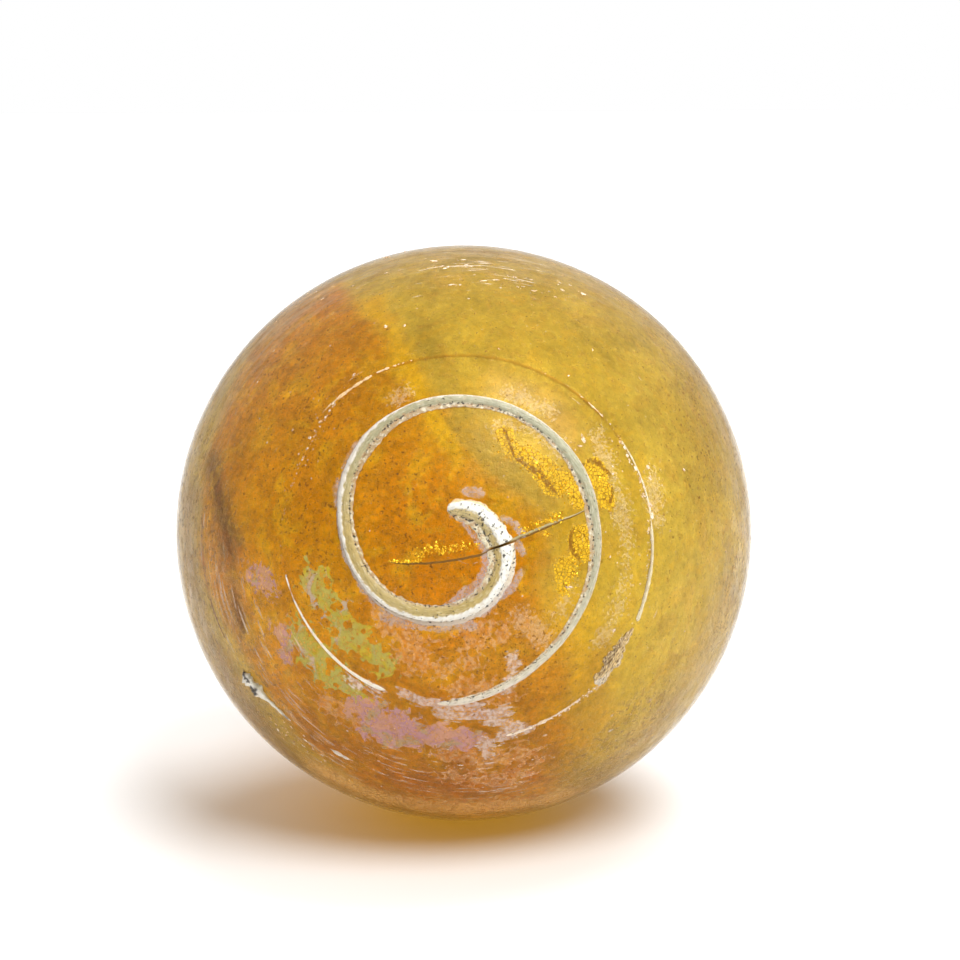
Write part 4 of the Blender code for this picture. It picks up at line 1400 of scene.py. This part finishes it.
def giltFlakeSpots():
    rng = np.random.default_rng(giltFlakes["seeds"][0])
    spots = strewAlong(giltFlakes["clusters"], rng)
    small, large = giltFlakes["size"]
    longs = small + (large - small) * rng.random(len(spots))
    return spots, longs, longs * 0.7, rng.random(len(spots)) * 2 * math.pi


def chipGlass(name, flakes):
    # two tones by chance; the white chips are lacy, the gilt ones are metal
    material, tree, shader = newMaterial(name)
    place = objectPlace(tree)
    tone = mix(attribute(tree, "chance"), *flakes["tones"])
    fill(shader, {
        "Base Color": grained(tone, place, 1600.0, 0.5),
        "Roughness": uneven(place, 2000.0, *flakes["rough"]),
    })
    if "metal" in flakes:
        fill(shader, {"Metallic": flakes["metal"]})
    else:
        fill(shader, {"Alpha": span(noise(place, 2600.0, 3.0, 0.6), 0.40, 0.52, 0.15, 0.9)})
    return material


whitePiece = makeFlakes("white_flakes", *whiteFlakeSpots(), whiteFlakes["thick"], whiteFlakes["seeds"][1])
whitePiece.data.materials.append(chipGlass("white flakes", whiteFlakes))
giltPiece = makeFlakes("gilt_flakes", *giltFlakeSpots(), giltFlakes["thick"], giltFlakes["seeds"][1])
giltPiece.data.materials.append(chipGlass("gilt flakes", giltFlakes))
for piece in (whitePiece, giltPiece):
    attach(piece, "root")
print("flakes strewn")

# Studio: a white floor without an edge, soft lamps above its front and its back, and soft light all round
studio = {
    "floorTones": ((0.77, 0.77, 0.77, 1), (0.79, 0.79, 0.79, 1)),
    "floorReach": 0.44,
    "aboveLight": 0.84,
    "frontLight": 0.03,
    "lamps": [
        {"name": "front_softbox", "place": (0.30, -0.44, 0.75), "size": 0.60, "power": 8.6, "glares": True},
        {"name": "back_softbox", "place": (0.17, 0.30, 0.70), "size": 0.60, "power": 5.2, "glares": False},
    ],
}


def makeFloor():
    reach = studio["floorReach"]
    corners = np.array([[-reach, -reach, 0], [reach, -reach, 0], [reach, reach, 0], [-reach, reach, 0]])
    floor = meshPiece("studio_floor", corners, np.array([[0, 1, 2, 3]]))
    material, tree, shader = newMaterial("studio floor")
    tone = mix(uneven(objectPlace(tree), 9.0, 0.0, 1.0), *studio["floorTones"])
    fill(shader, {"Base Color": tone, "Roughness": 0.8, "Specular IOR Level": 0.1})
    floor.data.materials.append(material)


def makeWorld():
    # soft light, strong from above and behind and weak from the front, and a white backdrop for the camera
    world = bpy.data.worlds.new("studio")
    bpy.context.scene.world = world
    world.use_nodes = True
    tree = world.node_tree
    place = addNode(tree, "ShaderNodeTexCoord").outputs["Generated"]
    way = joinNode("ShaderNodeSeparateXYZ", {0: place}).outputs
    strength = span(plus(way["Y"], way["Z"]), -0.6, 1.0, studio["frontLight"], studio["aboveLight"])
    soft = tree.nodes["Background"]
    fill(soft, {"Color": (1, 1, 1, 1), "Strength": strength})
    white = addNode(tree, "ShaderNodeBackground", {"Color": (1, 1, 1, 1), "Strength": 1.0})
    isCamera = addNode(tree, "ShaderNodeLightPath").outputs["Is Camera Ray"]
    surface = mixShader(isCamera, soft.outputs[0], white.outputs[0])
    fill(tree.nodes["World Output"], {"Surface": surface})


def makeLamp(softbox):
    lamp = bpy.data.lights.new(softbox["name"], "AREA")
    lamp.shape = "DISK"
    lamp.size = softbox["size"]
    lamp.energy = softbox["power"]
    item = bpy.data.objects.new(softbox["name"], lamp)
    item.location = softbox["place"]
    item.visible_glossy = softbox["glares"]  # the back one is flagged off the glass
    item.visible_transmission = softbox["glares"]
    toGlobe = Vector((0, 0, globeHeight)) - item.location
    item.rotation_euler = toGlobe.to_track_quat("-Z", "Y").to_euler()
    bpy.context.scene.collection.objects.link(item)


makeFloor()
makeWorld()
for softbox in studio["lamps"]:
    makeLamp(softbox)
bpy.context.scene.view_settings.view_transform = "Standard"
print("studio ready")
